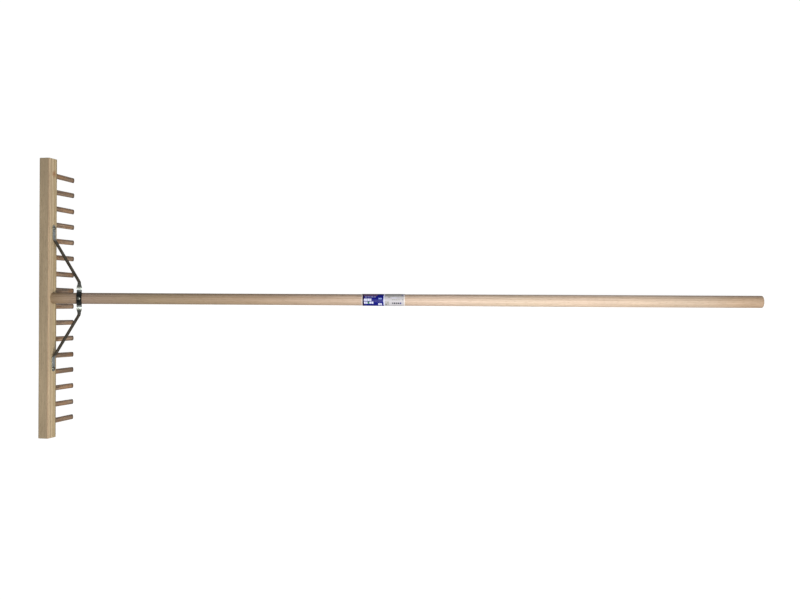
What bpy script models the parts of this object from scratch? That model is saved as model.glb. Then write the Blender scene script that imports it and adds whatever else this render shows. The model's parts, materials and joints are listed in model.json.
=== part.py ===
"""Wooden hay rake with sixteen dowel teeth, a long turned handle and a twisted flat-steel brace.

The rake is drawn in its own tool frame and then laid on the floor on its teeth and its grip end.
Tool frame: X runs along the handle from the head to the grip, Y along the head, Z away from the
teeth. Its origin is where the handle's axis passes through the middle of the head. The empty
rake_frame carries that frame into the world, where +X points to the grip, +Z is up and the origin
is the middle of the rake's footprint on the floor.
"""

import math

import bmesh
import bpy
from mathutils import Matrix, Vector

# Head: a straight bar that leans with its teeth, whose tips point towards the user
HEAD_LENGTH = 0.700
HEAD_THICKNESS = 0.027
HEAD_DEPTH = 0.0365
HEAD_EDGE_RADIUS = 0.0015
HEAD_LEAN = math.radians(12.5)

# Teeth: dowels in blind sockets in the underside of the head, their tips cut off on the slant
TOOTH_COUNT = 16
TOOTH_END_MARGIN = 0.0396
TOOTH_DIAMETER = 0.013
TOOTH_REACH = 0.105
TOOTH_TIP_ANGLE = math.radians(45)
TOOTH_SOCKET_DEPTH = 0.026
TOOTH_CHAMFER = 0.0012

# Handle: a turned pole that swells from its neck to its grip, with a tenon in the head
HANDLE_LENGTH = 1.800
NECK_DIAMETER = 0.028
GRIP_DIAMETER = 0.0305
GRIP_END_RADIUS = 0.003
SWELL_START = 0.450
SWELL_LENGTH = 0.950
TENON_DIAMETER = 0.022
TENON_BACK_WALL = 0.004

# Brace: one steel strip, flat on the head, on edge along its arms and flat again over the handle
STRIP_WIDTH = 0.0125
STRIP_THICKNESS = 0.0022
STRIP_EDGE_BEVEL = 0.0003
SADDLE_DISTANCE = 0.0693
SADDLE_BEND_RADIUS = 0.045
SADDLE_HALF_ANGLE = math.radians(18)
SADDLE_FILLET = 0.012
ARM_TWIST_LENGTH = 0.020
ARM_CORNER_PAST_TWIST = 0.003
ARM_CORNER_RADIUS = 0.010
TAB_HEIGHT = 0.001
TAB_LENGTH = 0.034
TAB_BEND_RADIUS = 0.006
TAB_PAST_SCREW = 0.0075
TAB_TOOTH = 4

# Screws: dome-headed wood screws with a cross recess
SCREW_HEAD_DIAMETER = 0.0086
SCREW_HEAD_HEIGHT = 0.0028
SCREW_SHANK_DIAMETER = 0.0040
SCREW_LENGTH = 0.016
SCREW_POINT_LENGTH = 0.004
RECESS_LENGTH = 0.0044
RECESS_WIDTH = 0.0009
RECESS_DEPTH = 0.0013
SCREW_SOCKET_WEB = 0.0014

# Label: a thin sleeve round the handle
LABEL_DISTANCE = 0.774
LABEL_LENGTH = 0.108
LABEL_THICKNESS = 0.0003

# Clearance between two pieces that touch on the real rake
GAP = 0.0003
MERGE_DISTANCE = 0.00001

# Smoothness of the round shapes, and the share of a side by which the tenon's corners miss the pole's
HANDLE_SIDES = 48
TENON_TURN = 0.5
TOOTH_SIDES = 20
SCREW_SIDES = 24
ARC_STEPS = 6
ARM_STEP = 0.015
TWIST_STEP = 0.002
SHARP_ANGLE = math.radians(35)
STRIP_EDGE_ANGLE = math.radians(60)

# Directions and places that follow from the sizes above, in the tool frame
ACROSS = Vector((math.cos(HEAD_LEAN), 0.0, math.sin(HEAD_LEAN)))
DOWN = Vector((math.sin(HEAD_LEAN), 0.0, -math.cos(HEAD_LEAN)))
ALONG = Vector((0.0, 1.0, 0.0))
TOOTH_RADIUS = TOOTH_DIAMETER / 2
TENON_RADIUS = TENON_DIAMETER / 2
FACE_X = HEAD_THICKNESS / 2 / math.cos(HEAD_LEAN)
TENON_LENGTH = 2 * FACE_X - TENON_RADIUS * math.tan(HEAD_LEAN) - TENON_BACK_WALL
TENON_END_X = FACE_X - TENON_LENGTH
GRIP_END_X = TENON_END_X + HANDLE_LENGTH
SADDLE_X = FACE_X + SADDLE_DISTANCE
SADDLE_TOP = NECK_DIAMETER / 2 + GAP + STRIP_THICKNESS
SCREW_HOLE_RADIUS = SCREW_SHANK_DIAMETER / 2 + GAP


def head_point(across, along, down):
    """Place in the tool frame of a point given in the leaning head's own directions."""
    return ACROSS * across + ALONG * along + DOWN * down


def tooth_places():
    """Distances along the head of the teeth, from one end to the other."""
    pitch = (HEAD_LENGTH - 2 * TOOTH_END_MARGIN) / (TOOTH_COUNT - 1)
    first = -HEAD_LENGTH / 2 + TOOTH_END_MARGIN
    return [first + pitch * index for index in range(TOOTH_COUNT)]


def tab_screw_place():
    """Distance of a tab screw from the middle: as near its tooth's socket as the wood allows."""
    tooth = tooth_places()[-TAB_TOOTH]
    return tooth - TOOTH_RADIUS - GAP - SCREW_SOCKET_WEB - SCREW_HOLE_RADIUS


def smooth(share):
    """Ease from 0 to 1 with no corner at either end."""
    share = min(max(share, 0.0), 1.0)
    return share * share * (3 - 2 * share)


def handle_radius(distance):
    """Radius of the handle at a distance from the head's inner face."""
    share = smooth((distance - SWELL_START) / SWELL_LENGTH)
    return (NECK_DIAMETER + (GRIP_DIAMETER - NECK_DIAMETER) * share) / 2


def resting_pose():
    """Slope and shift that lay the rake on its tooth tips and its grip end, above the origin."""
    tip = head_point(-TOOTH_RADIUS, 0.0, HEAD_DEPTH / 2 + TOOTH_REACH)
    heel = Vector((GRIP_END_X - GRIP_END_RADIUS, 0.0, -GRIP_DIAMETER / 2))
    slope = math.atan2(heel.z - tip.z, heel.x - tip.x)
    height = tip.x * math.sin(slope) - tip.z * math.cos(slope)
    corner = head_point(HEAD_EDGE_RADIUS - HEAD_THICKNESS / 2, 0.0,
                        HEAD_EDGE_RADIUS - HEAD_DEPTH / 2)
    head_end = corner.x * math.cos(slope) + corner.z * math.sin(slope) - HEAD_EDGE_RADIUS
    rim_height = GRIP_DIAMETER / 2 - GRIP_END_RADIUS
    grip_end = GRIP_END_X * math.cos(slope) + rim_height * math.sin(slope)
    return slope, Vector((-(head_end + grip_end) / 2, 0.0, height))


# ------------------------------------------------------------------ scene and object helpers
def clear_scene():
    """Remove every object of the file."""
    for item in list(bpy.data.objects):
        bpy.data.objects.remove(item, do_unlink=True)


def new_collection(name):
    """Add a collection to the scene."""
    collection = bpy.data.collections.new(name)
    bpy.context.scene.collection.children.link(collection)
    return collection


def new_material(name, colour, roughness, metallic=0.0):
    """Plain Principled material with a linear colour."""
    material = bpy.data.materials.new(name)
    material.use_nodes = True
    shader = material.node_tree.nodes["Principled BSDF"]
    shader.inputs["Base Color"].default_value = (*colour, 1.0)
    shader.inputs["Roughness"].default_value = roughness
    shader.inputs["Metallic"].default_value = metallic
    material.diffuse_color = (*colour, 1.0)
    return material


def add_object(name, mesh, collection, frame, place=(0, 0, 0), turn=(0, 0, 0), material=None):
    """Link a mesh as a named object that follows the rake's frame."""
    item = bpy.data.objects.new(name, mesh)
    collection.objects.link(item)
    item.parent = frame
    item.location = place
    item.rotation_euler = turn
    if material is not None and not mesh.materials:
        mesh.materials.append(material)
    return item


def as_cutter(item):
    """Keep a cutter out of the model and show it as wire."""
    item.hide_render = True
    item.display_type = "WIRE"
    return item


def cut(item, cutter):
    """Take a cutter's shape out of an object."""
    modifier = item.modifiers.new("cut_" + cutter.name, "BOOLEAN")
    modifier.operation = "DIFFERENCE"
    modifier.solver = "EXACT"
    modifier.object = cutter


def round_edges(item, width, segments):
    """Round an object's sharp edges."""
    modifier = item.modifiers.new("edges", "BEVEL")
    modifier.width = width
    modifier.segments = segments
    modifier.limit_method = "ANGLE"


def smooth_mesh(mesh):
    """Shade round sides smooth and keep the sharp edges."""
    mesh.shade_smooth()
    mesh.set_sharp_from_angle(angle=SHARP_ANGLE)


def mesh_from(shape, name):
    """Finish a bmesh as a mesh."""
    mesh = bpy.data.meshes.new(name)
    shape.to_mesh(mesh)
    shape.free()
    return mesh


def box_mesh(name, size):
    """Box of a given size round its own middle."""
    shape = bmesh.new()
    bmesh.ops.create_cube(shape, size=1.0)
    bmesh.ops.scale(shape, vec=size, verts=shape.verts)
    return mesh_from(shape, name)


def rod_mesh(name, radius, length, sides, places=((0, 0, 0),), turn=0.0):
    """One or more closed rods along Z, each round its own middle, turned by a share of a side."""
    shape = bmesh.new()
    about_axis = Matrix.Rotation(math.tau / sides * turn, 3, "Z")
    for place in places:
        rod = bmesh.ops.create_cone(shape, cap_ends=True, segments=sides, radius1=radius,
                                    radius2=radius, depth=length)
        bmesh.ops.rotate(shape, cent=(0, 0, 0), matrix=about_axis, verts=rod["verts"])
        bmesh.ops.translate(shape, vec=place, verts=rod["verts"])
    return mesh_from(shape, name)


def turned_mesh_object(name, profile, sides, collection, frame, closed=False):
    """Turn a profile of (radius, height) points, top to bottom, about Z with a Screw modifier."""
    shape = bmesh.new()
    corners = [shape.verts.new((radius, 0.0, height)) for radius, height in profile]
    for first, second in zip(corners, corners[1:]):
        shape.edges.new((first, second))
    if closed:
        shape.edges.new((corners[-1], corners[0]))
    item = add_object(name, mesh_from(shape, name), collection, frame)
    modifier = item.modifiers.new("turn", "SCREW")
    modifier.axis = "Z"
    modifier.angle = math.tau
    modifier.steps = sides
    modifier.render_steps = sides
    modifier.use_merge_vertices = True
    modifier.merge_threshold = MERGE_DISTANCE
    modifier.use_smooth_shade = True
    return item


def arc(radius, start, stop, steps):
    """Points of an arc round the origin of a plane, both ends included."""
    angles = [start + (stop - start) * step / steps for step in range(steps + 1)]
    return [(radius * math.cos(angle), radius * math.sin(angle)) for angle in angles]


# ------------------------------------------------------------------ wooden pieces
def make_cutters(cutters, frame):
    """Solids that hollow out the wood and the strip for the pieces they hold."""
    tools = {}
    socket_length = TOOTH_SOCKET_DEPTH * 2
    sockets = [(0.0, place, 0.0) for place in tooth_places()]
    mesh = rod_mesh("tooth_sockets", TOOTH_RADIUS + GAP, socket_length, TOOTH_SIDES, sockets)
    tools["tooth_sockets"] = add_object("tooth_sockets", mesh, cutters, frame,
                                        head_point(0.0, 0.0, HEAD_DEPTH / 2),
                                        (0.0, -HEAD_LEAN, 0.0))

    mortise_length = TENON_LENGTH * 2
    mesh = rod_mesh("mortise", TENON_RADIUS + GAP, mortise_length, HANDLE_SIDES,
                    turn=TENON_TURN)
    mortise_middle = TENON_END_X - GAP + mortise_length / 2
    tools["mortise"] = add_object("mortise", mesh, cutters, frame, (mortise_middle, 0.0, 0.0),
                                  (0.0, math.pi / 2, 0.0))

    core_length = TENON_LENGTH * 4
    mesh = rod_mesh("tenon_core", TENON_RADIUS, core_length, HANDLE_SIDES, turn=TENON_TURN)
    tools["tenon_core"] = add_object("tenon_core", mesh, cutters, frame, (FACE_X, 0.0, 0.0),
                                     (0.0, math.pi / 2, 0.0))

    margin = NECK_DIAMETER
    mesh = box_mesh("shoulder", (HEAD_THICKNESS + GAP + margin, NECK_DIAMETER * 2,
                                 HEAD_DEPTH + NECK_DIAMETER * 2))
    tools["shoulder"] = add_object("shoulder", mesh, cutters, frame,
                                   head_point((GAP - margin) / 2, 0.0, 0.0),
                                   (0.0, -HEAD_LEAN, 0.0))
    cut(tools["shoulder"], tools["tenon_core"])

    hole_length = (SCREW_LENGTH + GAP) * 2
    tab = tab_screw_seat(0.0)
    holes = [(0.0, place, 0.0) for place in (-tab_screw_place(), tab_screw_place())]
    mesh = rod_mesh("tab_screw_holes", SCREW_HOLE_RADIUS, hole_length, SCREW_SIDES, holes)
    tools["tab_screw_holes"] = add_object("tab_screw_holes", mesh, cutters, frame, tab,
                                          (0.0, math.pi / 2 - HEAD_LEAN, 0.0))
    mesh = rod_mesh("saddle_screw_hole", SCREW_HOLE_RADIUS, hole_length, SCREW_SIDES)
    tools["saddle_screw_hole"] = add_object("saddle_screw_hole", mesh, cutters, frame,
                                            saddle_screw_seat())
    for tool in tools.values():
        as_cutter(tool)
    return tools


def make_head(parts, frame, tools, material):
    """Bar of the head with its tooth sockets, its mortise and its screw holes."""
    mesh = box_mesh("head_bar", (HEAD_THICKNESS, HEAD_LENGTH, HEAD_DEPTH))
    head = add_object("head_bar", mesh, parts, frame, (0, 0, 0), (0.0, -HEAD_LEAN, 0.0), material)
    round_edges(head, HEAD_EDGE_RADIUS, 3)
    cut(head, tools["tooth_sockets"])
    cut(head, tools["mortise"])
    cut(head, tools["tab_screw_holes"])


def tooth_mesh(length):
    """Dowel round its own middle, chamfered at the top and cut off on the slant at the tip."""
    shape = bmesh.new()
    bmesh.ops.create_cone(shape, cap_ends=True, segments=TOOTH_SIDES, radius1=TOOTH_RADIUS,
                          radius2=TOOTH_RADIUS, depth=length)
    top_rim = [edge for edge in shape.edges if all(end.co.z > 0 for end in edge.verts)]
    bmesh.ops.bevel(shape, geom=top_rim, offset=TOOTH_CHAMFER, segments=1, affect="EDGES")
    rise = 1 / math.tan(TOOTH_TIP_ANGLE)
    tip = bmesh.ops.bisect_plane(shape, geom=shape.verts[:] + shape.edges[:] + shape.faces[:],
                                 plane_co=(-TOOTH_RADIUS, 0.0, -length / 2),
                                 plane_no=(rise, 0.0, -1.0), dist=MERGE_DISTANCE,
                                 clear_outer=True)
    rim = [item for item in tip["geom_cut"] if isinstance(item, bmesh.types.BMEdge)]
    bmesh.ops.edgeloop_fill(shape, edges=rim)
    bmesh.ops.recalc_face_normals(shape, faces=shape.faces)
    return mesh_from(shape, "tooth")


def make_teeth(parts, frame, material):
    """Sixteen equal dowels that share one mesh, their slanted tips towards the grip."""
    length = TOOTH_REACH + TOOTH_SOCKET_DEPTH - GAP
    mesh = tooth_mesh(length)
    smooth_mesh(mesh)
    middle = HEAD_DEPTH / 2 + TOOTH_REACH - length / 2
    for number, place in enumerate(tooth_places(), start=1):
        add_object(f"tooth_{number:02d}", mesh, parts, frame,
                   head_point(0.0, place, middle), (0.0, -HEAD_LEAN, 0.0), material)


def make_handle(parts, frame, tools, material):
    """Turned pole with a rounded grip end, a slow swell, a slanted shoulder and a tenon."""
    grip_radius = GRIP_DIAMETER / 2
    profile = [(0.0, GRIP_END_X)]
    for across, up in reversed(arc(GRIP_END_RADIUS, 0.0, math.pi / 2, ARC_STEPS)):
        profile.append((grip_radius - GRIP_END_RADIUS + across, GRIP_END_X - GRIP_END_RADIUS + up))
    for step in range(ARC_STEPS, -1, -1):
        distance = SWELL_START + SWELL_LENGTH * step / ARC_STEPS
        profile.append((handle_radius(distance), FACE_X + distance))
    profile.append((NECK_DIAMETER / 2, TENON_END_X))
    profile.append((0.0, TENON_END_X))
    handle = turned_mesh_object("handle", profile, HANDLE_SIDES, parts, frame)
    handle.rotation_euler = (0.0, math.pi / 2, 0.0)
    handle.data.materials.append(material)
    cut(handle, tools["shoulder"])
    cut(handle, tools["saddle_screw_hole"])


# ------------------------------------------------------------------ steel brace
def rounded_corner(before, corner, after, radius, steps):
    """Points of the arc that rounds one corner of a flat route."""
    arriving = (corner - before).normalized()
    leaving = (after - corner).normalized()
    turn = arriving.angle(leaving)
    reach = radius * math.tan(turn / 2)
    start = corner - arriving * reach
    side = (leaving - arriving * arriving.dot(leaving)).normalized()
    points = []
    for step in range(steps + 1):
        angle = turn * step / steps
        points.append(start + arriving * radius * math.sin(angle)
                      + side * radius * (1 - math.cos(angle)))
    return points


def saddle_arcs():
    """Saddle and fillet beside the handle, as (along, height) points from the foot to the top."""
    axis_height = SADDLE_TOP - STRIP_THICKNESS / 2 - SADDLE_BEND_RADIUS
    upright = math.pi / 2
    fillet_axis = SADDLE_BEND_RADIUS + SADDLE_FILLET
    fillet_along = fillet_axis * math.sin(SADDLE_HALF_ANGLE)
    fillet_height = axis_height + fillet_axis * math.cos(SADDLE_HALF_ANGLE)
    points = [(fillet_along + along, fillet_height + height) for along, height in
              arc(SADDLE_FILLET, -upright, -upright - SADDLE_HALF_ANGLE, ARC_STEPS)]
    points += [(along, axis_height + height) for along, height in
               arc(SADDLE_BEND_RADIUS, upright - SADDLE_HALF_ANGLE, upright, ARC_STEPS * 2)[1:]]
    return points


def tab_point(across, along):
    """Point at the tabs' height, at a distance across from the middle of the head."""
    return Vector(((across - TAB_HEIGHT * math.sin(HEAD_LEAN)) / math.cos(HEAD_LEAN), along,
                   TAB_HEIGHT))


def with_even_steps(points, longest):
    """The same route with points added along its long straight runs."""
    route = [points[0]]
    for before, after in zip(points, points[1:]):
        pieces = max(1, math.ceil((after - before).length / longest))
        for piece in range(1, pieces + 1):
            route.append(before.lerp(after, piece / pieces))
    return route


def brace_route():
    """Middle line of half the strip, from its tab's end to the top of the handle."""
    saddle = [Vector((SADDLE_X, along, height)) for along, height in saddle_arcs()]
    foot = saddle[0]
    seat = HEAD_THICKNESS / 2 + GAP + STRIP_THICKNESS / 2
    tab_end = tab_screw_place() + TAB_PAST_SCREW
    tip = tab_point(seat, tab_end)
    bend = tab_point(seat, tab_end - TAB_LENGTH)
    corner = foot + ALONG * (ARM_TWIST_LENGTH + ARM_CORNER_PAST_TWIST)

    tip_radius = STRIP_WIDTH / 2
    shares = [math.pi / 2 * step / ARC_STEPS for step in range(ARC_STEPS + 1)]
    arm = [tip - ALONG * tip_radius * (1 - math.cos(share)) for share in shares]
    arm += rounded_corner(tip, bend, corner, TAB_BEND_RADIUS, ARC_STEPS)
    arm += rounded_corner(bend, corner, foot, ARM_CORNER_RADIUS, ARC_STEPS)
    twist = [arm.pop()] + saddle
    return with_even_steps(arm + twist[:1], ARM_STEP) + with_even_steps(twist, TWIST_STEP)[1:]


def strip_half_width(point, tip_place):
    """Half the strip's width: rounded off at the tab's end and full everywhere else."""
    full = STRIP_WIDTH / 2
    short_of_round = max(0.0, full - (tip_place - point.y))
    return math.sqrt(max(full * full - short_of_round * short_of_round, 0.0))


def strip_lean(point, foot_place):
    """Lean of the strip's width: with the head along the arm, level beside the handle."""
    share = smooth(1 - (point.y - foot_place) / ARM_TWIST_LENGTH)
    return HEAD_LEAN + (math.pi / 2 - HEAD_LEAN) * share


def make_brace(parts, frame, tools, material):
    """Flat blank bent along its route, mirrored, thickened and drilled for three screws."""
    foot_place = saddle_arcs()[0][0]
    route = brace_route()
    tip_place = route[0].y
    last = len(route) - 1
    shape = bmesh.new()
    bmesh.ops.create_grid(shape, x_segments=1, y_segments=last, size=0.5)
    for corner in shape.verts:
        row = round((corner.co.y + 0.5) * last)
        side = 1.0 if corner.co.x > 0 else -1.0
        point = route[row]
        course = (route[min(row + 1, last)] - route[max(row - 1, 0)]).normalized()
        if row == last:
            course = -ALONG
        lean = strip_lean(point, foot_place)
        width = Vector((-math.sin(lean), 0.0, math.cos(lean)))
        width = (width - course * width.dot(course)).normalized()
        half = strip_half_width(point, tip_place)
        corner.co = point + width * half * side
    bmesh.ops.remove_doubles(shape, verts=shape.verts, dist=MERGE_DISTANCE)
    brace = add_object("brace_strap", mesh_from(shape, "brace_strap"), parts, frame,
                       material=material)

    mirror = brace.modifiers.new("other_arm", "MIRROR")
    mirror.use_axis = (False, True, False)
    mirror.use_clip = True
    mirror.merge_threshold = MERGE_DISTANCE
    wall = brace.modifiers.new("thickness", "SOLIDIFY")
    wall.thickness = STRIP_THICKNESS
    wall.offset = 0.0
    wall.use_even_offset = True
    round_edges(brace, STRIP_EDGE_BEVEL, 1)
    brace.modifiers["edges"].angle_limit = STRIP_EDGE_ANGLE
    cut(brace, tools["tab_screw_holes"])
    cut(brace, tools["saddle_screw_hole"])


# ------------------------------------------------------------------ screws and label
def tab_screw_seat(place):
    """Middle of the face under a tab screw's head."""
    return tab_point(HEAD_THICKNESS / 2 + GAP + STRIP_THICKNESS + GAP, place)


def saddle_screw_seat():
    """Middle of the face under the saddle screw's head."""
    return Vector((SADDLE_X, 0.0, SADDLE_TOP + GAP))


def make_screw(name, place, turn, parts, cutters, frame, material):
    """Dome-headed screw, its seat at its own origin and its point down its own Z axis."""
    head_radius = SCREW_HEAD_DIAMETER / 2
    shank_radius = SCREW_SHANK_DIAMETER / 2
    profile = [(head_radius * across / SCREW_HEAD_HEIGHT, up)
               for across, up in reversed(arc(SCREW_HEAD_HEIGHT, 0.0, math.pi / 2, ARC_STEPS))]
    profile[0] = (0.0, SCREW_HEAD_HEIGHT)
    profile += [(shank_radius, 0.0), (shank_radius, SCREW_POINT_LENGTH - SCREW_LENGTH),
                (0.0, -SCREW_LENGTH)]
    screw = turned_mesh_object(name, profile, SCREW_SIDES, parts, frame)
    screw.location = place
    screw.rotation_euler = turn
    screw.data.materials.append(material)
    recess = box_mesh("recess", (RECESS_LENGTH, RECESS_WIDTH, RECESS_DEPTH * 2))
    for blade, angle in (("a", math.pi / 4), ("b", -math.pi / 4)):
        slot = add_object(f"{name}_recess_{blade}", recess, cutters, screw,
                          (0.0, 0.0, SCREW_HEAD_HEIGHT), (0.0, 0.0, angle))
        cut(screw, as_cutter(slot))


def make_label(parts, frame, material):
    """Thin printed sleeve that follows the handle's swell."""
    far_end = LABEL_DISTANCE + LABEL_LENGTH
    rings = [far_end - LABEL_LENGTH * step / ARC_STEPS for step in range(ARC_STEPS + 1)]
    outer = [(handle_radius(ring) + GAP + LABEL_THICKNESS, FACE_X + ring) for ring in rings]
    inner = [(handle_radius(ring) + GAP, FACE_X + ring) for ring in reversed(rings)]
    label = turned_mesh_object("label_sleeve", outer + inner, HANDLE_SIDES, parts, frame, True)
    label.rotation_euler = (0.0, math.pi / 2, 0.0)
    label.data.materials.append(material)


def main():
    """Build the rake."""
    clear_scene()
    parts = new_collection("hay_rake")
    cutters = new_collection("cutters")
    frame = bpy.data.objects.new("rake_frame", None)
    parts.objects.link(frame)
    slope, shift = resting_pose()
    frame.location = shift
    frame.rotation_euler = (0.0, slope, 0.0)

    head_wood = new_material("head_wood", (0.42, 0.33, 0.21), 0.6)
    tooth_wood = new_material("tooth_wood", (0.30, 0.16, 0.09), 0.6)
    handle_wood = new_material("handle_wood", (0.60, 0.44, 0.29), 0.5)
    strip_steel = new_material("strip_steel", (0.32, 0.33, 0.31), 0.35, 1.0)
    screw_steel = new_material("screw_steel", (0.55, 0.56, 0.54), 0.3, 1.0)
    label_film = new_material("label_film", (0.01, 0.02, 0.22), 0.35)

    tools = make_cutters(cutters, frame)
    make_head(parts, frame, tools, head_wood)
    make_teeth(parts, frame, tooth_wood)
    make_handle(parts, frame, tools, handle_wood)
    make_brace(parts, frame, tools, strip_steel)
    tab_turn = (0.0, math.pi / 2 - HEAD_LEAN, 0.0)
    for name, side in (("brace_screw_left", 1.0), ("brace_screw_right", -1.0)):
        make_screw(name, tab_screw_seat(side * tab_screw_place()), tab_turn, parts, cutters,
                   frame, screw_steel)
    make_screw("saddle_screw", saddle_screw_seat(), (0.0, 0.0, 0.0), parts, cutters, frame,
               screw_steel)
    make_label(parts, frame, label_film)


main()
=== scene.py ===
"""Looks of a wooden hay rake.

The rake has a leaning ash head with sixteen dowel pegs, a long turned pole, a brace of
zinc-plated strip steel with three round-head screws, and a printed film sleeve on the pole.
Every piece is modelled here in fine detail, in the place its CAD node holds.
"""

import json
import logging
import math
from dataclasses import dataclass
from enum import Enum

import bmesh
import bpy
from mathutils import Matrix, Vector, noise

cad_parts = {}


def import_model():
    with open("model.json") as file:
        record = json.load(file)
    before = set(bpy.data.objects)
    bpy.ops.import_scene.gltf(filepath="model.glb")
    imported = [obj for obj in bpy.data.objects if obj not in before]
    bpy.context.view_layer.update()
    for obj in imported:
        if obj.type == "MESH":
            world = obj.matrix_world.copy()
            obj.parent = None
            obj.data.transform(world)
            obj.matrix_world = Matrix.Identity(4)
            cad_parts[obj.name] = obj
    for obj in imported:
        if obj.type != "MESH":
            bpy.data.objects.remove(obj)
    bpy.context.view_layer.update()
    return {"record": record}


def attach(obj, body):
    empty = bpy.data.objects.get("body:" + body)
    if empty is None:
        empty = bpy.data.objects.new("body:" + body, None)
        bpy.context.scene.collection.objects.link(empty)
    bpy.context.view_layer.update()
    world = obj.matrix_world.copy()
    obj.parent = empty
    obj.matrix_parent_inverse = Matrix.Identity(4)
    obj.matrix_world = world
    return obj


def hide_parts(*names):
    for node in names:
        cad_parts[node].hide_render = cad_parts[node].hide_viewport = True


LOG = logging.getLogger("hay_rake")

BODY = "root"
GAP = 0.0003
MERGE_DISTANCE = 0.000005
MILLIMETRE = 0.001
ALONG = Vector((0.0, 1.0, 0.0))
QUARTER_TURN = math.pi / 2


# ------------------------------------------------------------------ helpers
def linear(colour: str) -> tuple[float, float, float, float]:
    """Turn an sRGB hex colour into a linear one.

    Args:
        colour: Six hex digits, with or without a leading hash.

    Returns:
        Red, green, blue and an alpha of 1.
    """
    digits = colour.lstrip("#")
    channels = []
    for place in (0, 2, 4):
        value = int(digits[place:place + 2], 16) / 255
        channels.append(value / 12.92 if value <= 0.04045 else ((value + 0.055) / 1.055) ** 2.4)
    return channels[0], channels[1], channels[2], 1.0


def add_node(tree: bpy.types.NodeTree, kind: str, settings: dict | None = None,
             links: dict | None = None) -> bpy.types.Node:
    """Add a node, set it up and link what feeds it.

    Args:
        tree: Node tree that the node joins.
        kind: Blender's type name of the node.
        settings: Values by name; a lower-case name is a property, others and numbers are inputs.
        links: Output sockets by the name or number of the input that they feed.

    Returns:
        The new node.
    """
    node = tree.nodes.new(kind)
    for name, value in (settings or {}).items():
        if isinstance(name, str) and name[0].islower():
            setattr(node, name, value)
        else:
            node.inputs[name].default_value = value
    for name, source in (links or {}).items():
        tree.links.new(source, node.inputs[name])
    return node


def start_material(name: str) -> tuple[bpy.types.Material, bpy.types.NodeTree, bpy.types.Node]:
    """Start a material with nothing but its shader.

    Args:
        name: Name of the material.

    Returns:
        The material, its node tree and its shader.
    """
    material = bpy.data.materials.new(name)
    material.use_nodes = True
    return material, material.node_tree, material.node_tree.nodes["Principled BSDF"]


def smooth(share: float) -> float:
    """Ease from 0 to 1 with no corner at either end.

    Args:
        share: Place on the way, which is held between 0 and 1.

    Returns:
        The eased share.
    """
    share = min(max(share, 0.0), 1.0)
    return share * share * (3 - 2 * share)


def arc(radius: float, start: float, stop: float, steps: int) -> list[tuple[float, float]]:
    """Lay points on an arc round the origin of a plane, both ends included.

    Args:
        radius: Radius of the arc.
        start: Angle of the first point.
        stop: Angle of the last point.
        steps: Number of chords.

    Returns:
        The points, in order.
    """
    angles = [start + (stop - start) * step / steps for step in range(steps + 1)]
    return [(radius * math.cos(angle), radius * math.sin(angle)) for angle in angles]


def turned(profile: list[tuple[float, float]], sides: int) -> bmesh.types.BMesh:
    """Turn a profile about Z on a lathe.

    Args:
        profile: Radius and height of each point, from one pole to the other.
        sides: Number of facets round the piece.

    Returns:
        A closed shape with outward faces.
    """
    shape = bmesh.new()
    corners = [shape.verts.new((radius, 0.0, height)) for radius, height in profile]
    edges = [shape.edges.new(pair) for pair in zip(corners, corners[1:])]
    bmesh.ops.spin(shape, geom=corners + edges, cent=(0, 0, 0), axis=(0, 0, 1), dvec=(0, 0, 0),
                   angle=math.tau, steps=sides, use_merge=True)
    bmesh.ops.remove_doubles(shape, verts=shape.verts, dist=MERGE_DISTANCE)
    bmesh.ops.recalc_face_normals(shape, faces=shape.faces)
    return shape


def block(size: tuple[float, float, float]) -> bmesh.types.BMesh:
    """Make a rectangular blank round its own middle.

    Args:
        size: Its size along X, Y and Z.

    Returns:
        The blank.
    """
    shape = bmesh.new()
    bmesh.ops.create_cube(shape, size=1.0)
    bmesh.ops.scale(shape, vec=size, verts=shape.verts)
    return shape


def moved(shape: bmesh.types.BMesh, matrix: Matrix) -> bmesh.types.BMesh:
    """Put a shape in its place and give it back."""
    bmesh.ops.transform(shape, matrix=matrix, verts=shape.verts)
    return shape


def as_object(shape: bmesh.types.BMesh, name: str) -> bpy.types.Object:
    """Turn a shape into an object of the scene and free it.

    Args:
        shape: The shape.
        name: Name of the object and its mesh.

    Returns:
        The object.
    """
    mesh = bpy.data.meshes.new(name)
    shape.to_mesh(mesh)
    shape.free()
    item = bpy.data.objects.new(name, mesh)
    bpy.context.scene.collection.objects.link(item)
    return item


def baked(item: bpy.types.Object) -> bmesh.types.BMesh:
    """Take an object's shape with its modifiers done, and remove the object.

    Args:
        item: Object of the scene.

    Returns:
        Its finished shape.
    """
    done = item.evaluated_get(bpy.context.evaluated_depsgraph_get())
    mesh = bpy.data.meshes.new_from_object(done)
    shape = bmesh.new()
    shape.from_mesh(mesh)
    blank = item.data
    bpy.data.objects.remove(item)
    bpy.data.meshes.remove(blank)
    bpy.data.meshes.remove(mesh)
    return shape


def carved(blank: bmesh.types.BMesh, tools: list[bmesh.types.BMesh]) -> bmesh.types.BMesh:
    """Cut tools out of a blank.

    Args:
        blank: Closed shape that is cut.
        tools: Closed shapes of what goes; the cut keeps the tools' material numbers.

    Returns:
        The cut shape.
    """
    piece = as_object(blank, "blank")
    cutters = [as_object(tool, "tool") for tool in tools]
    for cutter in cutters:
        modifier = piece.modifiers.new("cut", "BOOLEAN")
        modifier.operation = "DIFFERENCE"
        modifier.solver = "EXACT"
        modifier.object = cutter
    shape = baked(piece)
    for cutter in cutters:
        mesh = cutter.data
        bpy.data.objects.remove(cutter)
        bpy.data.meshes.remove(mesh)
    return shape


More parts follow.
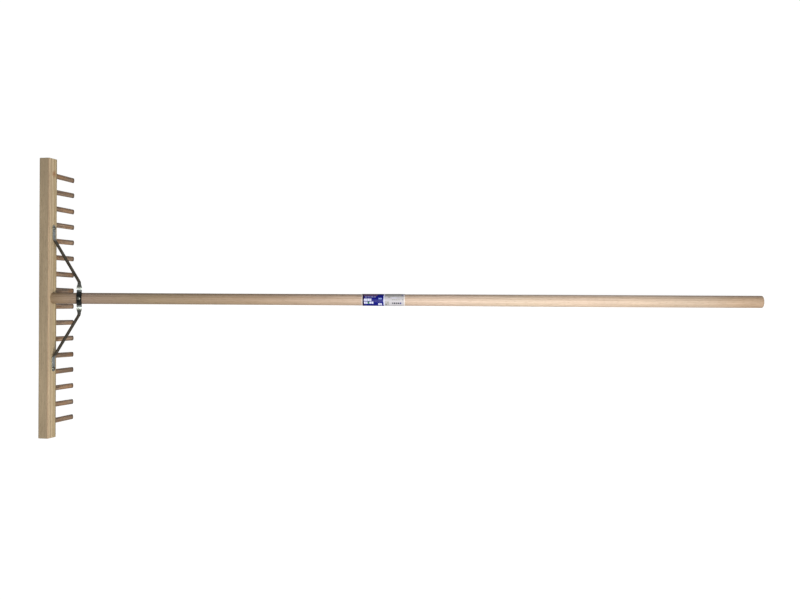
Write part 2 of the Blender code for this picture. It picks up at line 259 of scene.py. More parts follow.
# ------------------------------------------------------------------ the rake's own frame
@dataclass(frozen=True)
class RakeFrame:
    """The rake's own frame as it lies in the row frame.

    X runs along the pole from the head to the grip, Y along the head and Z away from the teeth.
    The origin is where the pole's axis meets the middle of the head.

    Attributes:
        matrix: Takes the rake's frame into the row frame.
        slope: Angle by which the pole falls towards its grip.
        lean: Angle by which the head and its teeth lean towards the grip.
    """

    matrix: Matrix
    slope: float
    lean: float

    @classmethod
    def from_record(cls, record: dict, grip_end: float) -> "RakeFrame":
        """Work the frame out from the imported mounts.

        Args:
            record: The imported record.
            grip_end: Distance from the origin to the pole's far end.

        Returns:
            The frame.
        """
        mounts = {mount["name"]: mount for mount in record["mounts"]}
        course = Vector(mounts["handle_end"]["axis"])
        top = Vector(mounts["head_top_face"]["axis"])
        slope = math.atan2(-course.z, course.x)
        origin = Vector(mounts["handle_end"]["pos_m"]) - course * grip_end
        matrix = Matrix.Translation(origin) @ Matrix.Rotation(slope, 4, "Y")
        return cls(matrix, slope, math.atan2(-top.x, top.z) + slope)

    @property
    def head_tilt(self) -> float:
        """Angle between the head's depth and the row frame's vertical."""
        return self.lean - self.slope

    @property
    def across(self) -> Vector:
        """Direction through the head's thickness, towards the grip, in the rake's frame."""
        return Vector((math.cos(self.lean), 0.0, math.sin(self.lean)))

    @property
    def head(self) -> Matrix:
        """Matrix that takes the head's directions (across, along, up) into the row frame."""
        return self.matrix @ Matrix.Rotation(-self.lean, 4, "Y")


def set_piece(shape: bmesh.types.BMesh, name: str, node: str, place: Matrix,
              materials: list[bpy.types.Material], sharp: float = math.radians(35),
              weighted: bool = True) -> bpy.types.Object:
    """Finish a shape as a piece that stands for one CAD node.

    Args:
        shape: Closed shape, in the frame that place takes into the row frame.
        name: Name of the piece.
        node: CAD node that the piece stands for.
        place: Takes the shape into the row frame.
        materials: Materials, in the order of the faces' material numbers.
        sharp: Edges that turn by more than this stay sharp.
        weighted: Whether the large faces keep their own shading.

    Returns:
        The piece.
    """
    moved(shape, place)
    piece = as_object(shape, name)
    for material in materials:
        piece.data.materials.append(material)
    piece.data.shade_smooth()
    piece.data.set_sharp_from_angle(angle=sharp)
    if weighted:
        modifier = piece.modifiers.new("even_shading", "WEIGHTED_NORMAL")
        modifier.keep_sharp = True
    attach(piece, BODY)
    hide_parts(node)
    LOG.info("%s: %d faces", name, len(piece.data.polygons))
    return piece


# ------------------------------------------------------------------ finishes
@dataclass(frozen=True)
class GrainMark:
    """A knot or a stain in the wood.

    Attributes:
        place: Middle of the mark in the row frame.
        reach: Half sizes of the mark along the row frame's axes.
        colour: Colour at its middle.
        strength: How far the middle takes that colour.
    """

    place: tuple[float, float, float]
    reach: tuple[float, float, float]
    colour: str
    strength: float


@dataclass(frozen=True)
class SawnWood:
    """Open-grained wood whose growth rings, fibres and stains run through the whole piece.

    Attributes:
        name: Name of the material.
        early: Colour of the pale part of a growth ring.
        late: Colour of its dark part.
        pore: Colour of the open pores, which show as short dark lines.
        stain: Colour of handled or weathered patches.
        grain_turn: Turns the row frame so that the grain runs along Z.
        pith: Place of the tree's centre beside the grain axis, in metres.
        ring_spacing: Distance between growth rings.
        patch_length: Length of the stained patches along the grain.
        stain_share: How far the patches take the stain's colour.
        streaks: Factors of the darkest and the palest fibres.
        roughness: Roughness of the pale wood.
        tone_axis: Axis of the row frame, 0 to 2, along which the tone changes.
        tones: Place on that axis and colour that multiplies the wood there.
        marks: Knots and stains.
        fibre: Width and length of the bundles of fibres.
        vessel: Width and length of the open pores, drawn wider than real ones so that they show.
        patch_width: Width of the stained patches.
        bend_scale: How many bends a ring has in a metre, along each axis of the grain.
        bend: How far a ring is bent.
        relief: Depth of the raised grain.
    """

    name: str
    early: str
    late: str
    pore: str
    stain: str
    grain_turn: tuple[float, float, float]
    pith: tuple[float, float]
    ring_spacing: float
    patch_length: float = 0.30
    stain_share: float = 0.45
    streaks: tuple[float, float] = (0.86, 1.08)
    roughness: float = 0.55
    tone_axis: int = 0
    tones: tuple[tuple[float, str], ...] = ()
    marks: tuple[GrainMark, ...] = ()
    fibre: tuple[float, float] = (0.0016, 0.06)
    vessel: tuple[float, float] = (0.0009, 0.012)
    patch_width: float = 0.030
    bend_scale: tuple[float, float, float] = (18.0, 18.0, 2.2)
    bend: float = 0.010
    relief: float = 0.00025

    def build(self) -> bpy.types.Material:
        """Make the material.

        Returns:
            A solid wood that reads Object coordinates only.
        """
        material, tree, shader = start_material(self.name)
        shader.inputs["IOR"].default_value = 1.5
        place = add_node(tree, "ShaderNodeTexCoord").outputs["Object"]
        grain = add_node(tree, "ShaderNodeMapping",
                         {"Rotation": self.grain_turn, "Location": (*self.pith, 0.0)},
                         {"Vector": place}).outputs["Vector"]
        rings = self._rings(tree, grain)
        fibres = self._stretched_noise(tree, grain, *self.fibre, 3.0)
        pores = self._stretched_noise(tree, grain, *self.vessel, 1.0)
        patches = self._stretched_noise(tree, grain, self.patch_width, self.patch_length, 3.0)

        # Late wood darkens each ring, and handling darkens whole patches of it
        ring_colour = add_node(tree, "ShaderNodeMix", {"data_type": "RGBA", 6: linear(self.early),
                                                       7: linear(self.late)}, {0: rings})
        fibre_tone = add_node(tree, "ShaderNodeMapRange",
                              {"From Min": 0.3, "From Max": 0.7, "To Min": self.streaks[0],
                               "To Max": self.streaks[1]}, {"Value": fibres})
        colour = self._mix(tree, "MULTIPLY", 1.0, ring_colour.outputs[2], fibre_tone.outputs[0])
        patch_share = add_node(tree, "ShaderNodeMapRange",
                               {"From Min": 0.42, "From Max": 0.68, "To Min": 0.0,
                                "To Max": self.stain_share}, {"Value": patches})
        colour = self._mix(tree, "MIX", patch_share.outputs[0], colour, linear(self.stain))
        pore_share = add_node(tree, "ShaderNodeMapRange",
                              {"From Min": 0.60, "From Max": 0.70, "To Min": 0.0, "To Max": 0.55},
                              {"Value": pores})
        colour = self._mix(tree, "MIX", pore_share.outputs[0], colour, linear(self.pore))
        if self.tones:
            colour = self._toned(tree, place, colour)
        for mark in self.marks:
            colour = self._marked(tree, place, colour, mark)
        tree.links.new(colour, shader.inputs["Base Color"])

        # Fibres stand up a little and open pores sink, so the gloss is broken along the grain
        rough = add_node(tree, "ShaderNodeMapRange",
                         {"From Min": 0.3, "From Max": 0.7, "To Min": self.roughness - 0.08,
                          "To Max": self.roughness + 0.12}, {"Value": fibres})
        tree.links.new(rough.outputs[0], shader.inputs["Roughness"])
        relief = add_node(tree, "ShaderNodeMath", {"operation": "SUBTRACT"},
                          {0: fibres, 1: pore_share.outputs[0]})
        bump = add_node(tree, "ShaderNodeBump", {"Strength": 0.5, "Distance": self.relief},
                        {"Height": relief.outputs[0]})
        tree.links.new(bump.outputs[0], shader.inputs["Normal"])
        return material

    def _rings(self, tree: bpy.types.NodeTree,
               grain: bpy.types.NodeSocket) -> bpy.types.NodeSocket:
        """Draw growth rings round the pith, bent a little along their length.

        Args:
            tree: The material's node tree.
            grain: Coordinates whose Z runs along the grain.

        Returns:
            Share of late wood.
        """
        slow = add_node(tree, "ShaderNodeMapping", {"Scale": self.bend_scale},
                        {"Vector": grain})
        bend = add_node(tree, "ShaderNodeTexNoise", {"Scale": 1.0, "Detail": 2.0},
                        {"Vector": slow.outputs[0]})
        shift = add_node(tree, "ShaderNodeVectorMath",
                         {"operation": "MULTIPLY", 1: (self.bend, self.bend, 0.0)},
                         {0: bend.outputs["Color"]})
        bent = add_node(tree, "ShaderNodeVectorMath", {"operation": "ADD"},
                        {0: grain, 1: shift.outputs[0]})
        # A ring texture repeats every tau / 20 units at a scale of 1
        waves = add_node(tree, "ShaderNodeTexWave",
                         {"wave_type": "RINGS", "rings_direction": "Z", "wave_profile": "SAW",
                          "Scale": math.tau / 20 / self.ring_spacing, "Distortion": 0.6,
                          "Detail": 2.0, "Detail Scale": 2.0}, {"Vector": bent.outputs[0]})
        ramp = add_node(tree, "ShaderNodeValToRGB", links={"Fac": waves.outputs["Fac"]})
        ramp.color_ramp.elements[0].color = (0.05, 0.05, 0.05, 1.0)
        ramp.color_ramp.elements[1].color = (1.0, 1.0, 1.0, 1.0)
        ramp.color_ramp.elements[1].position = 0.93
        end = ramp.color_ramp.elements.new(1.0)
        end.color = (0.2, 0.2, 0.2, 1.0)
        return ramp.outputs["Color"]

    @staticmethod
    def _stretched_noise(tree: bpy.types.NodeTree, grain: bpy.types.NodeSocket, width: float,
                         length: float, detail: float) -> bpy.types.NodeSocket:
        """Draw noise whose spots are drawn out along the grain.

        Args:
            tree: The material's node tree.
            grain: Coordinates whose Z runs along the grain.
            width: Width of a spot.
            length: Length of a spot along the grain.
            detail: Number of finer layers.

        Returns:
            The noise.
        """
        stretch = add_node(tree, "ShaderNodeMapping",
                           {"Scale": (1 / width, 1 / width, 1 / length)}, {"Vector": grain})
        return add_node(tree, "ShaderNodeTexNoise", {"Scale": 1.0, "Detail": detail},
                        {"Vector": stretch.outputs[0]}).outputs["Fac"]

    @staticmethod
    def _mix(tree: bpy.types.NodeTree, blend: str, share: object, under: object,
             over: object) -> bpy.types.NodeSocket:
        """Mix two colours.

        Args:
            tree: The material's node tree.
            blend: Blender's name of the blend.
            share: How far the upper colour counts, as a socket or a value.
            under: Lower colour, as a socket or a value.
            over: Upper colour, as a socket or a value.

        Returns:
            The mixed colour.
        """
        parts = {0: share, 6: under, 7: over}
        linked = {key: part for key, part in parts.items()
                  if isinstance(part, bpy.types.NodeSocket)}
        fixed = {key: part for key, part in parts.items() if key not in linked}
        node = add_node(tree, "ShaderNodeMix",
                        {"data_type": "RGBA", "blend_type": blend, **fixed}, linked)
        return node.outputs[2]

    def _toned(self, tree: bpy.types.NodeTree, place: bpy.types.NodeSocket,
               colour: bpy.types.NodeSocket) -> bpy.types.NodeSocket:
        """Darken and tint the wood along one axis: painted light and shade on the head and the
        pole, darker tips on the pegs.

        Args:
            tree: The material's node tree.
            place: Object coordinates.
            colour: Colour of the wood so far.

        Returns:
            The toned colour.
        """
        split = add_node(tree, "ShaderNodeSeparateXYZ", links={"Vector": place})
        first, last = self.tones[0][0], self.tones[-1][0]
        share = add_node(tree, "ShaderNodeMapRange", {"From Min": first, "From Max": last},
                         {"Value": split.outputs[self.tone_axis]})
        ramp = add_node(tree, "ShaderNodeValToRGB", links={"Fac": share.outputs[0]})
        stops = ramp.color_ramp.elements
        stops[0].color = linear(self.tones[0][1])
        stops[1].color = linear(self.tones[-1][1])
        for spot, tone in self.tones[1:-1]:
            stops.new((spot - first) / (last - first)).color = linear(tone)
        return self._mix(tree, "MULTIPLY", 1.0, colour, ramp.outputs["Color"])

    def _marked(self, tree: bpy.types.NodeTree, place: bpy.types.NodeSocket,
                colour: bpy.types.NodeSocket, mark: GrainMark) -> bpy.types.NodeSocket:
        """Lay one knot or stain over the wood, with an uneven rim.

        Args:
            tree: The material's node tree.
            place: Object coordinates.
            colour: Colour of the wood so far.
            mark: The knot or stain.

        Returns:
            The marked colour.
        """
        away = add_node(tree, "ShaderNodeVectorMath", {"operation": "SUBTRACT", 1: mark.place},
                        {0: place})
        shares = add_node(tree, "ShaderNodeVectorMath", {"operation": "DIVIDE", 1: mark.reach},
                          {0: away.outputs[0]})
        ragged = add_node(tree, "ShaderNodeTexNoise", {"Scale": 1.6, "Detail": 3.0},
                          {"Vector": shares.outputs[0]})
        radius = add_node(tree, "ShaderNodeVectorMath", {"operation": "LENGTH"},
                          {0: shares.outputs[0]})
        rim = add_node(tree, "ShaderNodeMath", {"operation": "ADD"},
                       {0: radius.outputs["Value"], 1: ragged.outputs["Fac"]})
        share = add_node(tree, "ShaderNodeMapRange",
                         {"From Min": 0.6, "From Max": 1.5, "To Min": mark.strength,
                          "To Max": 0.0}, {"Value": rim.outputs[0]})
        return self._mix(tree, "MIX", share.outputs[0], colour, linear(mark.colour))


@dataclass(frozen=True)
class ZincPlate:
    """Cold-rolled steel with a thin zinc plating that has dulled unevenly.

    Attributes:
        name: Name of the material.
        bright: Colour of the clean plating.
        dull: Colour of the dulled patches.
        roughness: Roughness of the clean plating.
        patch: Size of the dulled patches.
        stops: Distance from the pole's axis, colour that multiplies the plating there as painted
            reflection or highlight, and what is added to its roughness.
        grit: Size of the plating's grit.
        relief: Depth of the grit.
    """

    name: str
    bright: str
    dull: str
    roughness: float
    patch: float
    stops: tuple[tuple[float, str, float], ...] = ()
    grit: float = 0.0012
    relief: float = 0.00008

    def build(self) -> bpy.types.Material:
        """Make the material.

        Returns:
            A metal whose gloss is broken by dull patches and grit.
        """
        material, tree, shader = start_material(self.name)
        shader.inputs["Metallic"].default_value = 1.0
        place = add_node(tree, "ShaderNodeTexCoord").outputs["Object"]
        patches = add_node(tree, "ShaderNodeTexNoise",
                           {"Scale": 1 / self.patch, "Detail": 4.0, "Roughness": 0.6},
                           {"Vector": place})
        share = add_node(tree, "ShaderNodeMapRange", {"From Min": 0.35, "From Max": 0.65},
                         {"Value": patches.outputs["Fac"]})
        colour = add_node(tree, "ShaderNodeMix", {"data_type": "RGBA", 6: linear(self.bright),
                                                  7: linear(self.dull)}, {0: share.outputs[0]})
        rough = add_node(tree, "ShaderNodeMapRange",
                         {"To Min": self.roughness, "To Max": self.roughness + 0.16},
                         {"Value": share.outputs[0]})
        tint, gloss = colour.outputs[2], rough.outputs[0]
        if self.stops:
            tint, gloss = self._painted_reflections(tree, place, tint, gloss)
        tree.links.new(tint, shader.inputs["Base Color"])
        tree.links.new(gloss, shader.inputs["Roughness"])
        # Plating grit is far finer than this, but it would not show
        grit = add_node(tree, "ShaderNodeTexNoise", {"Scale": 1 / self.grit, "Detail": 2.0},
                        {"Vector": place})
        bump = add_node(tree, "ShaderNodeBump", {"Strength": 0.25, "Distance": self.relief},
                        {"Height": grit.outputs["Fac"]})
        tree.links.new(bump.outputs[0], shader.inputs["Normal"])
        return material

    def _painted_reflections(self, tree: bpy.types.NodeTree, place: bpy.types.NodeSocket,
              colour: bpy.types.NodeSocket,
              rough: bpy.types.NodeSocket) -> tuple[bpy.types.NodeSocket, bpy.types.NodeSocket]:
        """Darken the plating by its distance from the pole as painted reflections and highlights,
        and roughen it along the arms.

        Args:
            tree: The material's node tree.
            place: Object coordinates.
            colour: Colour of the plating so far.
            rough: Roughness of the plating so far.

        Returns:
            The aged colour and roughness.
        """
        split = add_node(tree, "ShaderNodeSeparateXYZ", links={"Vector": place})
        distance = add_node(tree, "ShaderNodeMath", {"operation": "ABSOLUTE"},
                            {0: split.outputs["Y"]})
        reach = self.stops[-1][0]
        share = add_node(tree, "ShaderNodeMath", {"operation": "DIVIDE", 1: reach},
                         {0: distance.outputs[0]})
        tints = add_node(tree, "ShaderNodeValToRGB", links={"Fac": share.outputs[0]})
        extra = add_node(tree, "ShaderNodeValToRGB", links={"Fac": share.outputs[0]})
        for ramp, pick in ((tints, lambda stop: linear(stop[1])),
                           (extra, lambda stop: (stop[2], stop[2], stop[2], 1.0))):
            stops = ramp.color_ramp.elements
            stops[0].color, stops[1].color = pick(self.stops[0]), pick(self.stops[-1])
            for stop in self.stops[1:-1]:
                stops.new(stop[0] / reach).color = pick(stop)
        tint = add_node(tree, "ShaderNodeMix",
                        {"data_type": "RGBA", "blend_type": "MULTIPLY", 0: 1.0},
                        {6: colour, 7: tints.outputs["Color"]})
        gloss = add_node(tree, "ShaderNodeMath", {"operation": "ADD"},
                         {0: rough, 1: extra.outputs["Color"]})
        return tint.outputs[2], gloss.outputs[0]


@dataclass(frozen=True)
class PrintedFilm:
    """Glossy plastic film printed in one ink, a little wrinkled and rubbed.

    Attributes:
        name: Name of the material.
        colour: Colour of the print.
        rubbed: Colour where handling has worn it.
        roughness: Roughness of the film.
        rub: Size of the rubbed spots.
        wrinkle: Distance between wrinkles.
        relief: Depth of the wrinkles.
    """

    name: str
    colour: str
    rubbed: str
    roughness: float = 0.32
    rub: float = 0.004
    wrinkle: float = 0.012
    relief: float = 0.0004

    def build(self) -> bpy.types.Material:
        """Make the material.

        Returns:
            A plastic with fine wrinkles and rubbed spots.
        """
        material, tree, shader = start_material(self.name)
        shader.inputs["IOR"].default_value = 1.49
        shader.inputs["Specular IOR Level"].default_value = 0.2
        place = add_node(tree, "ShaderNodeTexCoord").outputs["Object"]
        rubs = add_node(tree, "ShaderNodeTexNoise", {"Scale": 1 / self.rub, "Detail": 4.0},
                        {"Vector": place})
        share = add_node(tree, "ShaderNodeMapRange",
                         {"From Min": 0.5, "From Max": 0.75, "To Max": 0.5},
                         {"Value": rubs.outputs["Fac"]})
        colour = add_node(tree, "ShaderNodeMix", {"data_type": "RGBA", 6: linear(self.colour),
                                                  7: linear(self.rubbed)}, {0: share.outputs[0]})
        tree.links.new(colour.outputs[2], shader.inputs["Base Color"])
        rough = add_node(tree, "ShaderNodeMapRange",
                         {"To Min": self.roughness, "To Max": self.roughness + 0.2},
                         {"Value": share.outputs[0]})
        tree.links.new(rough.outputs[0], shader.inputs["Roughness"])
        wrinkles = add_node(tree, "ShaderNodeTexNoise", {"Scale": 1 / self.wrinkle, "Detail": 2.0},
                            {"Vector": place})
        bump = add_node(tree, "ShaderNodeBump", {"Strength": 0.3, "Distance": self.relief},
                        {"Height": wrinkles.outputs["Fac"]})
        tree.links.new(bump.outputs[0], shader.inputs["Normal"])
        return material


class Ink(Enum):
    """Inks of the printed sleeve, each with the film it makes."""

    # Printed film shows flat, even colour under a soft shine, a little greyer where it is rubbed
    CLEAR = PrintedFilm("clear_film_edge", "dcd6d2", "c9c0b8", 0.28)
    NAVY = PrintedFilm("navy_printed_film", "080f78", "161c7c")
    DARK = PrintedFilm("maroon_printed_film", "2a1626", "3c2a3c")
    MAUVE = PrintedFilm("mauve_printed_film", "66496a", "77607a")
    HAZE = PrintedFilm("lavender_printed_film", "7f7fa8", "9090ae")
    SKY = PrintedFilm("sky_printed_film", "8fa6de", "a6b6de")
    WHITE = PrintedFilm("white_printed_film", "cdd2ea", "c2c6dc")
    GREEN = PrintedFilm("green_printed_film", "3f7d4a", "5c8d64")
    PALE = PrintedFilm("pale_grey_printed_film", "c0bfc5", "b2b1b6")
    GREY = PrintedFilm("grey_printed_film", "9f9e9b", "adacaa")
    COAL = PrintedFilm("charcoal_printed_film", "4b4b54", "62626a")


# ------------------------------------------------------------------ wooden sub-assemblies
@dataclass
class ToothRow:
    """Sixteen dowel pegs in blind sockets under the head, cut off on the slant at the tip.

    Attributes:
        count: Number of pegs.
        head_length: Length of the head that they share.
        end_margin: Distance from the head's end to the first peg's middle.
        diameter: Thickness at the socket.
        tip_diameter: Thickness at the tip.
        reach: Length past the head, to the sharp side of the tip.
        tip_angle: Angle between the tip's cut and the peg's axis.
        tip_round: Width of the sanded edge round the cut.
        top_chamfer: Width of the chamfer at the end inside the head.
        socket_flare: Depth of the flare at a socket's mouth.
        facet_turn: Angle between one dowel's facets and the next one's.
        socket_depth: Length inside the head.
        seat: Distance from the head's middle to its underside.
        sides: Number of facets round a peg.
        leans: Sideways lean of each peg, in degrees, as it was driven in.
    """

    count: int = 16
    head_length: float = 0.700
    end_margin: float = 0.0396
    diameter: float = 0.013
    tip_diameter: float = 0.0126
    reach: float = 0.105
    tip_angle: float = math.radians(45)
    tip_round: float = 0.0004
    top_chamfer: float = 0.0012
    socket_flare: float = 0.0005
    facet_turn: float = 2.4
    socket_depth: float = 0.026
    seat: float = 0.01825
    sides: int = 32
    leans: tuple[float, ...] = (1.2, 0.1, 0.8, 0.4, -0.3, 0.2, 1.0, 0.8, 0.2, 0.5, 0.4, 1.1, 0.1,
                                0.5, 0.9, -0.1)

    def places(self) -> list[float]:
        """Share the pegs out along the head.

        Returns:
            Their distances from its middle, from one end to the other.
        """
        pitch = (self.head_length - 2 * self.end_margin) / (self.count - 1)
        return [self.end_margin - self.head_length / 2 + pitch * index
                for index in range(self.count)]

    def peg(self, turn: float) -> bmesh.types.BMesh:
        """Turn one peg and cut its tip on the slant, its mouth at the origin and its tip down.

        Args:
            turn: Angle by which the dowel is turned before its tip is cut.

        Returns:
            The peg, whose cut faces the grip.
        """
        root, tip = self.diameter / 2, self.tip_diameter / 2
        top, chamfer, steps = self.socket_depth - GAP, self.top_chamfer, 6
        profile = [(0.0, top), (root - chamfer, top), (root, top - chamfer)]
        profile += [(root + (tip - root) * step / steps, -self.reach * step / steps)
                    for step in range(steps + 1)]
        profile.append((0.0, -self.reach))
        peg = moved(turned(profile, self.sides), Matrix.Rotation(turn, 4, "Z"))
        cut = bmesh.ops.bisect_plane(
            peg, geom=peg.verts[:] + peg.edges[:] + peg.faces[:], dist=MERGE_DISTANCE,
            plane_co=(-root, 0.0, -self.reach), plane_no=(1 / math.tan(self.tip_angle), 0.0, -1.0),
            clear_outer=True)
        rim = [item for item in cut["geom_cut"] if isinstance(item, bmesh.types.BMEdge)]
        bmesh.ops.edgeloop_fill(peg, edges=rim)
        bmesh.ops.recalc_face_normals(peg, faces=peg.faces)
        bmesh.ops.bevel(peg, geom=rim, offset=self.tip_round, offset_type="OFFSET",
                        affect="EDGES", segments=2, profile=0.5, material=-1)
        return peg

    def socket(self, place: float) -> bmesh.types.BMesh:
        """Make the drill of one socket, with a small flare at its mouth.

        Args:
            place: Distance of the socket along the head.

        Returns:
            The drill, in the head's directions.
        """
        radius, flare = self.diameter / 2 + GAP, self.socket_flare
        profile = [(0.0, self.socket_depth), (radius, self.socket_depth), (radius, flare),
                   (radius + flare * 2, -flare), (0.0, -flare)]
        drill = turned(profile, self.sides)
        for face in drill.faces:
            face.material_index = 1
        return moved(drill, Matrix.Translation((0.0, place, -self.seat)))

    def build(self, frame: RakeFrame, wood: bpy.types.Material) -> None:
        """Make and place every peg.

        Args:
            frame: The rake's frame.
            wood: Material of the pegs.
        """
        for index, place in enumerate(self.places()):
            lean = Matrix.Rotation(-math.radians(self.leans[-1 - index]), 4, "X")
            spot = Matrix.Translation((0.0, place, -self.seat))
            set_piece(moved(self.peg(index * self.facet_turn), lean), f"peg_{index + 1:02d}",
                      f"tooth_{index + 1:02d}", frame.head @ spot, [wood])


@dataclass
class HeadBar:
    """Planed ash bar that holds the pegs and the pole.

    Attributes:
        length: Length along the pegs.
        thickness: Size towards the pole.
        depth: Size along the pegs.
        arris: Radius of its sanded edges.
    """

    length: float = 0.700
    thickness: float = 0.027
    depth: float = 0.0365
    arris: float = 0.0018

    def build(self, frame: RakeFrame, drills: list[bmesh.types.BMesh], wood: bpy.types.Material,
              cut_wood: bpy.types.Material) -> None:
        """Plane, round and drill the bar.

        Args:
            frame: The rake's frame.
            drills: Tools that cut its sockets and holes, in the head's directions.
            wood: Material of its planed faces.
            cut_wood: Material inside the holes.
        """
        blank = block((self.thickness, self.length, self.depth))
        bmesh.ops.bevel(blank, geom=blank.edges[:] + blank.verts[:], offset=self.arris,
                        offset_type="OFFSET", affect="EDGES", segments=5, profile=0.5,
                        material=-1)
        set_piece(carved(blank, drills), "ash_head", "head_bar", frame.head,
                  [wood, cut_wood])


@dataclass
class Pole:
    """Turned handle: a tenon, a slanted shoulder, a slow swell and a rounded end.

    Attributes:
        length: Length with the tenon.
        neck: Diameter at the head.
        grip: Diameter at the far end.
        end_round: Radius of the far end's edge.
        swell_start: Distance from the head's face at which it starts to swell.
        swell_length: Distance over which it swells.
        tenon: Diameter of the tenon.
        back_wall: Wood left behind the mortise.
        head_thickness: Thickness of the head.
        lean: Angle by which the head leans towards the grip.
        stock: Length of the blank past the head's face, from which the tenon is sawn.
        sand_depth: Depth to which sanding took the lathe's evenness out.
        sand_scale: How many waves the sanding left in a metre, across and along the pole.
        sides: Number of facets round it.
        rings: Number of facets along it.
        end_steps: Number of facets over the far end's edge.
    """

    length: float = 1.800
    neck: float = 0.028
    grip: float = 0.0305
    end_round: float = 0.003
    swell_start: float = 0.450
    swell_length: float = 0.950
    tenon: float = 0.022
    back_wall: float = 0.004
    head_thickness: float = 0.027
    lean: float = math.radians(12.5)
    stock: float = 0.030
    sand_depth: float = 0.00012
    sand_scale: tuple[float, float] = (60.0, 9.0)
    sides: int = 64
    rings: int = 72
    end_steps: int = 6

    @property
    def face(self) -> float:
        """Distance along the pole's axis from the head's middle to its inner face."""
        return self.head_thickness / 2 / math.cos(self.lean)

    @property
    def tenon_length(self) -> float:
        """Length of the tenon on the pole's axis."""
        return 2 * self.face - self.tenon / 2 * math.tan(self.lean) - self.back_wall

    @property
    def start(self) -> float:
        """Place of the tenon's end on the pole's axis."""
        return self.face - self.tenon_length

    @property
    def end(self) -> float:
        """Place of the far end on the pole's axis."""
        return self.start + self.length

    def radius(self, distance: float) -> float:
        """Give the radius at a distance from the head's inner face."""
        share = smooth((distance - self.swell_start) / self.swell_length)
        return (self.neck + (self.grip - self.neck) * share) / 2

    def mortise(self) -> bmesh.types.BMesh:
        """Make the drill for the tenon.

        Returns:
            The drill, in the rake's frame, long enough to stand clear of the head.
        """
        radius, clear = self.tenon / 2 + GAP, 0.05
        profile = [(0.0, self.start - GAP), (radius, self.start - GAP), (radius, clear),
                   (0.0, clear)]
        drill = moved(turned(profile, self.sides), Matrix.Rotation(QUARTER_TURN, 4, "Y"))
        for face in drill.faces:
            face.material_index = 1
        return drill

    def build(self, frame: RakeFrame, pilot: bmesh.types.BMesh,
              wood: bpy.types.Material) -> None:
        """Turn the pole, cut its shoulder and tenon, and drill its pilot hole.

        Args:
            frame: The rake's frame.
            pilot: Drill for the saddle screw, in the rake's frame.
            wood: Material of the pole.
        """
        first, last = self.face - self.stock, self.end - self.end_round
        stations = [first + (last - first) * ring / self.rings for ring in range(self.rings + 1)]
        grip = self.grip / 2
        profile = [(0.0, stations[0])]
        profile += [(self.radius(station - self.face), station) for station in stations]
        profile += [(grip - self.end_round + out, last + up)
                    for out, up in arc(self.end_round, 0.0, QUARTER_TURN, self.end_steps)[1:]]
        profile += [(grip / 2, self.end), (0.0, self.end)]
        pole = turned(profile, self.sides)
        self._sand(pole)
        moved(pole, Matrix.Rotation(QUARTER_TURN, 4, "Y"))
        self._cut_tenon(pole, frame)
        set_piece(carved(pole, [pilot]), "turned_pole", "handle", frame.matrix,
                  [wood])

    def _sand(self, pole: bmesh.types.BMesh) -> None:
        """Take the lathe's evenness out of the pole, inwards only.

        Args:
            pole: The pole as turned, along Z.
        """
        round_it, along = self.sand_scale
        for corner in pole.verts:
            out = Vector((corner.co.x, corner.co.y, 0.0))
            if out.length < self.neck / 4:
                continue
            spot = Vector((corner.co.x * round_it, corner.co.y * round_it, corner.co.z * along))
            depth = self.sand_depth * (1 + noise.noise(spot)) / 2
            corner.co -= out.normalized() * depth

    def _cut_tenon(self, pole: bmesh.types.BMesh, frame: RakeFrame) -> None:
        """Saw the pole along the head's leaning face and leave the tenon standing.

        Args:
            pole: The pole, along X.
            frame: The rake's frame.
        """
        everything = pole.verts[:] + pole.edges[:] + pole.faces[:]
        cut = bmesh.ops.bisect_plane(
            pole, geom=everything, dist=MERGE_DISTANCE,
            plane_co=frame.across * (self.head_thickness / 2 + GAP), plane_no=frame.across,
            clear_inner=True)
        rim = [item for item in cut["geom_cut"] if isinstance(item, bmesh.types.BMEdge)]
        shoulder = bmesh.ops.edgeloop_fill(pole, edges=rim)["faces"]
        bmesh.ops.inset_region(pole, faces=shoulder, thickness=(self.neck - self.tenon) / 2,
                               use_even_offset=True)
        grown = bmesh.ops.extrude_face_region(pole, geom=shoulder)["geom"]
        bmesh.ops.delete(pole, geom=shoulder, context="FACES_ONLY")
        for corner in (item for item in grown if isinstance(item, bmesh.types.BMVert)):
            corner.co.x = self.start
        bmesh.ops.recalc_face_normals(pole, faces=pole.faces)


